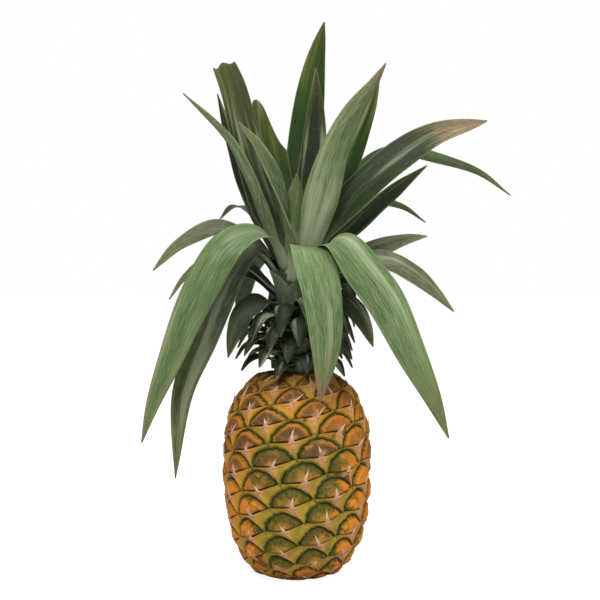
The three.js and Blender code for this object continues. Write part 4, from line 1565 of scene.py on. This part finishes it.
LEAVES = {
    "leaf_heart": Leaf(
        -88, 22, 0.35, ((-1, -7, 266), (-2, -10, 293), (-1, -11, 308), (0, -11, 323)), look=LeafLook.FRESH),
    "leaf_upright_back_inner": Leaf(
        86, 27, 0.25, ((6, 4, 268), (12, 7, 318), (15, 9, 366), (15, 9, 408)), look=LeafLook.DEEP,
        dry=(0.85, 1.2)),
    "leaf_upright_left_inner": Leaf(
        112, 33, 0.5, ((-6, 6, 262), (-19, 15, 310), (-25, 20, 350), (-28, 21, 382)), look=LeafLook.BRIGHT,
        blunt=True, slope=0.34),
    "leaf_upright_front_broad": Leaf(
        -80, 33, 0.2, ((8, -9, 256), (19, -23, 298), (30, -29, 338), (45, -31, 370), (60, -28, 392),
        (70, -24, 409)), look=LeafLook.GREY, twist=16, dry=(0.84, 1.0)),
    "leaf_upright_right_behind": Leaf(
        74, 29, 0.25, ((11, 2, 262), (29, 7, 306), (46, 8, 345), (58, 6, 374), (66, 4, 399)),
        look=LeafLook.BRIGHT),
    "leaf_upright_back_tall": Leaf(
        84, 31, 0.22, ((4, 9, 260), (5, 19, 312), (8, 25, 360), (14, 26, 408), (22, 22, 446)),
        look=LeafLook.BRIGHT, taper=3.4),
    "leaf_upright_left_blunt": Leaf(
        116, 31, 0.3, ((-10, 0, 256), (-29, 1, 305), (-42, 3, 350), (-52, 5, 389), (-60, 4, 410)),
        look=LeafLook.DEEP, blunt=True, dry=(1.0, 1.2)),
    "leaf_upright_front_left": Leaf(
        -104, 23, 0.5, ((-6, -14, 243), (-10, -22, 280), (-18, -27, 313), (-29, -26, 340), (-46, -22, 363)),
        look=LeafLook.GREY, twist=-135),
    "leaf_slim_left": Leaf(
        -122, 14, 0.35, ((-12, -4, 252), (-27, -14, 290), (-40, -20, 324), (-57, -20, 353),
        (-90, -15, 386)), look=LeafLook.GREY, dry=(0.86, 1.05)),
    "leaf_arch_right_broad": Leaf(
        34, 33, 0.28, ((11, -2, 256), (34, -5, 288), (60, -7, 316), (83, -6, 336), (112, -3, 354),
        (152, 1, 365)), look=LeafLook.DEEP, twist=34, dry=(0.5, 1.1), taper=3.6),
    "leaf_upright_left_outer": Leaf(
        150, 24, 0.3, ((-12, 8, 250), (-37, 25, 292), (-54, 32, 342), (-65, 33, 389)), look=LeafLook.DEEP,
        taper=3.4),
    "leaf_arch_right_under": Leaf(
        24, 29, 0.35, ((14, 4, 244), (41, 10, 272), (64, 14, 294), (85, 16, 313), (105, 17, 330)),
        look=LeafLook.DEEP, twist=30),
    "leaf_arch_far_right": Leaf(
        40, 18, 0.3, ((8, 12, 256), (33, 30, 302), (58, 40, 333), (84, 43, 342), (115, 42, 336),
        (148, 37, 325), (174, 32, 306)), look=LeafLook.FRESH, twist=-84),
    "leaf_arch_right_slim": Leaf(
        42, 13, 0.3, ((12, 12, 246), (37, 27, 281), (62, 32, 299), (85, 33, 297), (105, 32, 284)),
        look=LeafLook.FRESH, twist=-84),
    "leaf_spread_right_small": Leaf(
        18, 25, 0.4, ((16, 6, 236), (42, 17, 251), (70, 25, 263), (90, 27, 270), (106, 27, 273)),
        look=LeafLook.OLIVE, twist=58, dry=(0.88, 1.1)),
    "leaf_spread_right_low": Leaf(
        4, 28, 0.35, ((16, -3, 234), (42, -6, 248), (70, -8, 251), (91, -9, 242), (108, -9, 229),
        (125, -9, 213)), look=LeafLook.OLIVE, twist=52, dry=(0.9, 1.1)),
    "leaf_spread_left_high": Leaf(
        165, 24, 0.35, ((-14, 6, 244), (-38, 16, 265), (-60, 23, 277), (-74, 24, 276), (-97, 24, 264),
        (-117, 22, 245)), look=LeafLook.OLIVE, twist=-58, dry=(0.88, 1.1)),
    "leaf_spread_left_low": Leaf(
        172, 17, 0.4, ((-17, 3, 228), (-42, 9, 249), (-66, 12, 254), (-88, 10, 241), (-103, 8, 222)),
        look=LeafLook.OLIVE, twist=-40, dry=(0.8, 1.0)),
    "leaf_droop_left_inner": Leaf(
        -164, 29, 0.25, ((-14, -3, 238), (-29, -9, 260), (-41, -14, 257), (-60, -20, 228), (-75, -25, 190),
        (-91, -27, 146), (-96, -26, 82)), look=LeafLook.GREY, twist=-66, outer=-0.2),
    "leaf_droop_left_front": Leaf(
        -144, 34, 0.3, ((-11, -11, 246), (-22, -22, 271), (-40, -34, 275), (-60, -45, 262), (-80, -51, 224),
        (-98, -52, 178), (-112, -50, 142), (-121, -46, 112)), look=LeafLook.FRESH, twist=-70,
        dry=(0.93, 1.08), outer=-0.34),
    "leaf_droop_front": Leaf(
        -78, 38, 0.22, ((2, -15, 236), (7, -27, 260), (11, -40, 263), (17, -54, 246), (22, -62, 218),
        (23, -65, 184), (18, -64, 146)), look=LeafLook.FRESH, dry=(0.86, 0.98), outer=-0.16, taper=3.4),
    "leaf_droop_right_front": Leaf(
        -46, 38, 0.25, ((14, -8, 244), (21, -20, 263), (34, -32, 268), (51, -43, 250), (70, -50, 223),
        (88, -54, 184), (105, -54, 148), (118, -51, 116)), look=LeafLook.FRESH, twist=62, dry=(0.95, 1.06),
        outer=-0.26),
    "leaf_short_left": Leaf(
        -150, 24, 0.35, ((-15, -8, 214), (-28, -19, 223), (-41, -27, 216), (-49, -33, 198),
        (-54, -36, 178)), look=LeafLook.DEEP, twist=-46, outer=-0.2),
    "leaf_short_right": Leaf(
        -26, 24, 0.35, ((16, -7, 216), (31, -15, 226), (44, -21, 219), (54, -25, 203), (60, -27, 186)),
        look=LeafLook.DEEP, twist=46, outer=-0.2),
    "leaf_upright_back_hidden": Leaf(
        72, 24, 0.3, ((4, 13, 248), (11, 33, 305), (15, 44, 348), (18, 48, 386)), look=LeafLook.DEEP),
    "leaf_upright_left_hidden": Leaf(
        114, 24, 0.3, ((-8, 12, 246), (-19, 33, 300), (-27, 44, 335), (-32, 48, 364)),
        look=LeafLook.BRIGHT),
    "leaf_spread_back_right": Leaf(
        54, 22, 0.3, ((9, 14, 240), (25, 37, 272), (38, 57, 292), (51, 74, 299), (61, 87, 294)),
        look=LeafLook.FRESH),
    "leaf_spread_back_left": Leaf(
        134, 22, 0.3, ((-10, 14, 242), (-26, 37, 276), (-40, 55, 293), (-53, 70, 297), (-65, 82, 287)),
        look=LeafLook.OLIVE),
    "leaf_droop_back": Leaf(
        92, 30, 0.25, ((-1, 16, 240), (-1, 36, 270), (-4, 60, 274), (-8, 80, 244), (-10, 90, 198),
        (-8, 93, 148)), look=LeafLook.FRESH, dry=(0.9, 1.05), outer=-0.2),
    "leaf_droop_back_right": Leaf(
        62, 27, 0.25, ((9, 14, 230), (19, 33, 254), (30, 51, 262), (39, 66, 250), (45, 75, 222),
        (48, 79, 196)), look=LeafLook.DEEP, outer=-0.2),
    "leaf_droop_back_left": Leaf(
        122, 27, 0.25, ((-10, 13, 230), (-20, 32, 254), (-31, 52, 258), (-41, 68, 244), (-47, 78, 218),
        (-50, 83, 190)), look=LeafLook.FRESH, outer=-0.2),
    "leaf_droop_left_behind": Leaf(
        152, 24, 0.3, ((-15, 9, 222), (-36, 21, 241), (-57, 30, 243), (-75, 37, 226), (-87, 41, 202),
        (-94, 43, 172)), look=LeafLook.DEEP, twist=-30, outer=-0.2),
    "leaf_droop_right_behind": Leaf(
        26, 24, 0.3, ((15, 8, 220), (34, 18, 237), (54, 27, 237), (69, 34, 218), (80, 38, 188)),
        look=LeafLook.DEEP, twist=30, outer=-0.2),
    "leaf_low_back_right": Leaf(
        72, 22, 0.3, ((5, 16, 218), (10, 34, 234), (15, 53, 230), (18, 68, 208), (20, 76, 178)),
        look=LeafLook.DEEP, outer=-0.2),
    "leaf_low_back_left": Leaf(
        106, 22, 0.3, ((-5, 16, 214), (-10, 34, 230), (-15, 53, 225), (-19, 67, 202), (-21, 74, 172)),
        look=LeafLook.DEEP, outer=-0.2),
}


@dataclass(frozen=True)
class Crown:
    """The long leaves of the crown, each a piece that replaces its node."""

    making: LeafBuild = LeafBuild()
    luck_step: float = 0.83

    def build(self) -> list[Piece]:
        """Grows every long leaf.

        Returns:
            The leaves.
        """
        pieces = []
        for i, (node, leaf) in enumerate(LEAVES.items()):
            name = node.replace("leaf_", "blade_")
            piece = self.making.grow(name, leaf, leaf.look, self.luck_step * i, leaf.dry)
            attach(piece, "root")
            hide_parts(node)
            pieces.append(piece)
        return pieces


@dataclass(frozen=True)
class Studio:
    """The plain pale floor, the soft lights and the camera at the photograph's place. Metres."""

    aim: Point = (0.0024, 0.0, 0.222)
    distance: float = 1.6
    elevation: float = 2.0
    lens: float = 120.0
    lamp_aim: Point = (0.0, 0.0, 0.2)
    floor_size: float = 14.0
    ambient: float = 0.18
    floor_glow: float = 0.9
    floor_grey: float = 0.72

    def build(self) -> None:
        """Sets up the studio."""
        self.floor()
        self.lights()
        self.camera()

    def floor(self) -> None:
        """Lays the plain floor, which glows for the camera alone, so that it stays as white as the air."""
        clear_selection()
        bpy.ops.mesh.primitive_plane_add(size=self.floor_size)
        floor = bpy.context.object
        floor.name = floor.data.name = "studio_floor"
        nodes = Nodes("studio_pale")
        nodes.dress("Base Color", (*[self.floor_grey] * 3, 1.0))
        nodes.dress("Roughness", 0.9)
        nodes.dress("Specular IOR Level", 0.1)
        nodes.dress("Emission Color", WHITE)
        glow = nodes.tree.nodes.new("ShaderNodeLightPath").outputs["Is Camera Ray"]
        nodes.dress("Emission Strength", nodes.math("MULTIPLY", glow, self.floor_glow))
        floor.data.materials.append(nodes.material)

    def lights(self) -> None:
        """Hangs three soft boxes and fills the room with pale light."""
        for name, place, size, watts in (
            ("key", (-0.35, -1.3, 1.5), 0.6, 22.0),
            ("fill", (1.3, -1.0, 0.7), 1.2, 8.0),
            ("top", (0.1, -0.1, 1.7), 0.9, 17.0),
        ):
            clear_selection()
            bpy.ops.object.light_add(type="AREA", location=place)
            lamp = bpy.context.object
            lamp.name = f"studio_{name}"
            lamp.data.size = size
            lamp.data.energy = watts
            lamp.rotation_euler = (Vector(self.lamp_aim) - Vector(place)).to_track_quat("-Z", "Y").to_euler()
        world = bpy.data.worlds.new("studio_air")
        world.use_nodes = True
        tree = world.node_tree
        air = tree.nodes["Background"]
        air.inputs["Color"].default_value = WHITE
        seen = tree.nodes.new("ShaderNodeMapRange")
        seen.inputs["To Min"].default_value = self.ambient
        tree.links.new(tree.nodes.new("ShaderNodeLightPath").outputs["Is Camera Ray"], seen.inputs["Value"])
        tree.links.new(seen.outputs["Result"], air.inputs["Strength"])
        bpy.context.scene.world = world
        bpy.context.scene.view_settings.view_transform = "Standard"

    def camera(self) -> None:
        """Stands the camera in front, a little above the middle."""
        clear_selection()
        aim = Vector(self.aim)
        tilt = math.radians(self.elevation)
        place = aim + self.distance * Vector((0, -math.cos(tilt), math.sin(tilt)))
        bpy.ops.object.camera_add(location=place, rotation=(aim - place).to_track_quat("-Z", "Y").to_euler())
        camera = bpy.context.object
        camera.name = "studio_camera"
        camera.data.sensor_width = 36.0
        camera.data.lens = self.lens
        bpy.context.scene.camera = camera


def main() -> None:
    """Builds the studio and the pineapple."""
    logging.basicConfig(level=logging.INFO, format="%(message)s")
    Studio().build()
    barrel = Barrel()
    rind = Rind(barrel, EyeCell(barrel), RindFinish())
    report(rind.build())
    report(Spines(barrel, rind, SpineFinish()).build())
    report(CrownStem().build())
    for piece in Crown().build():
        report(piece)


if __name__ == "__main__":
    main()
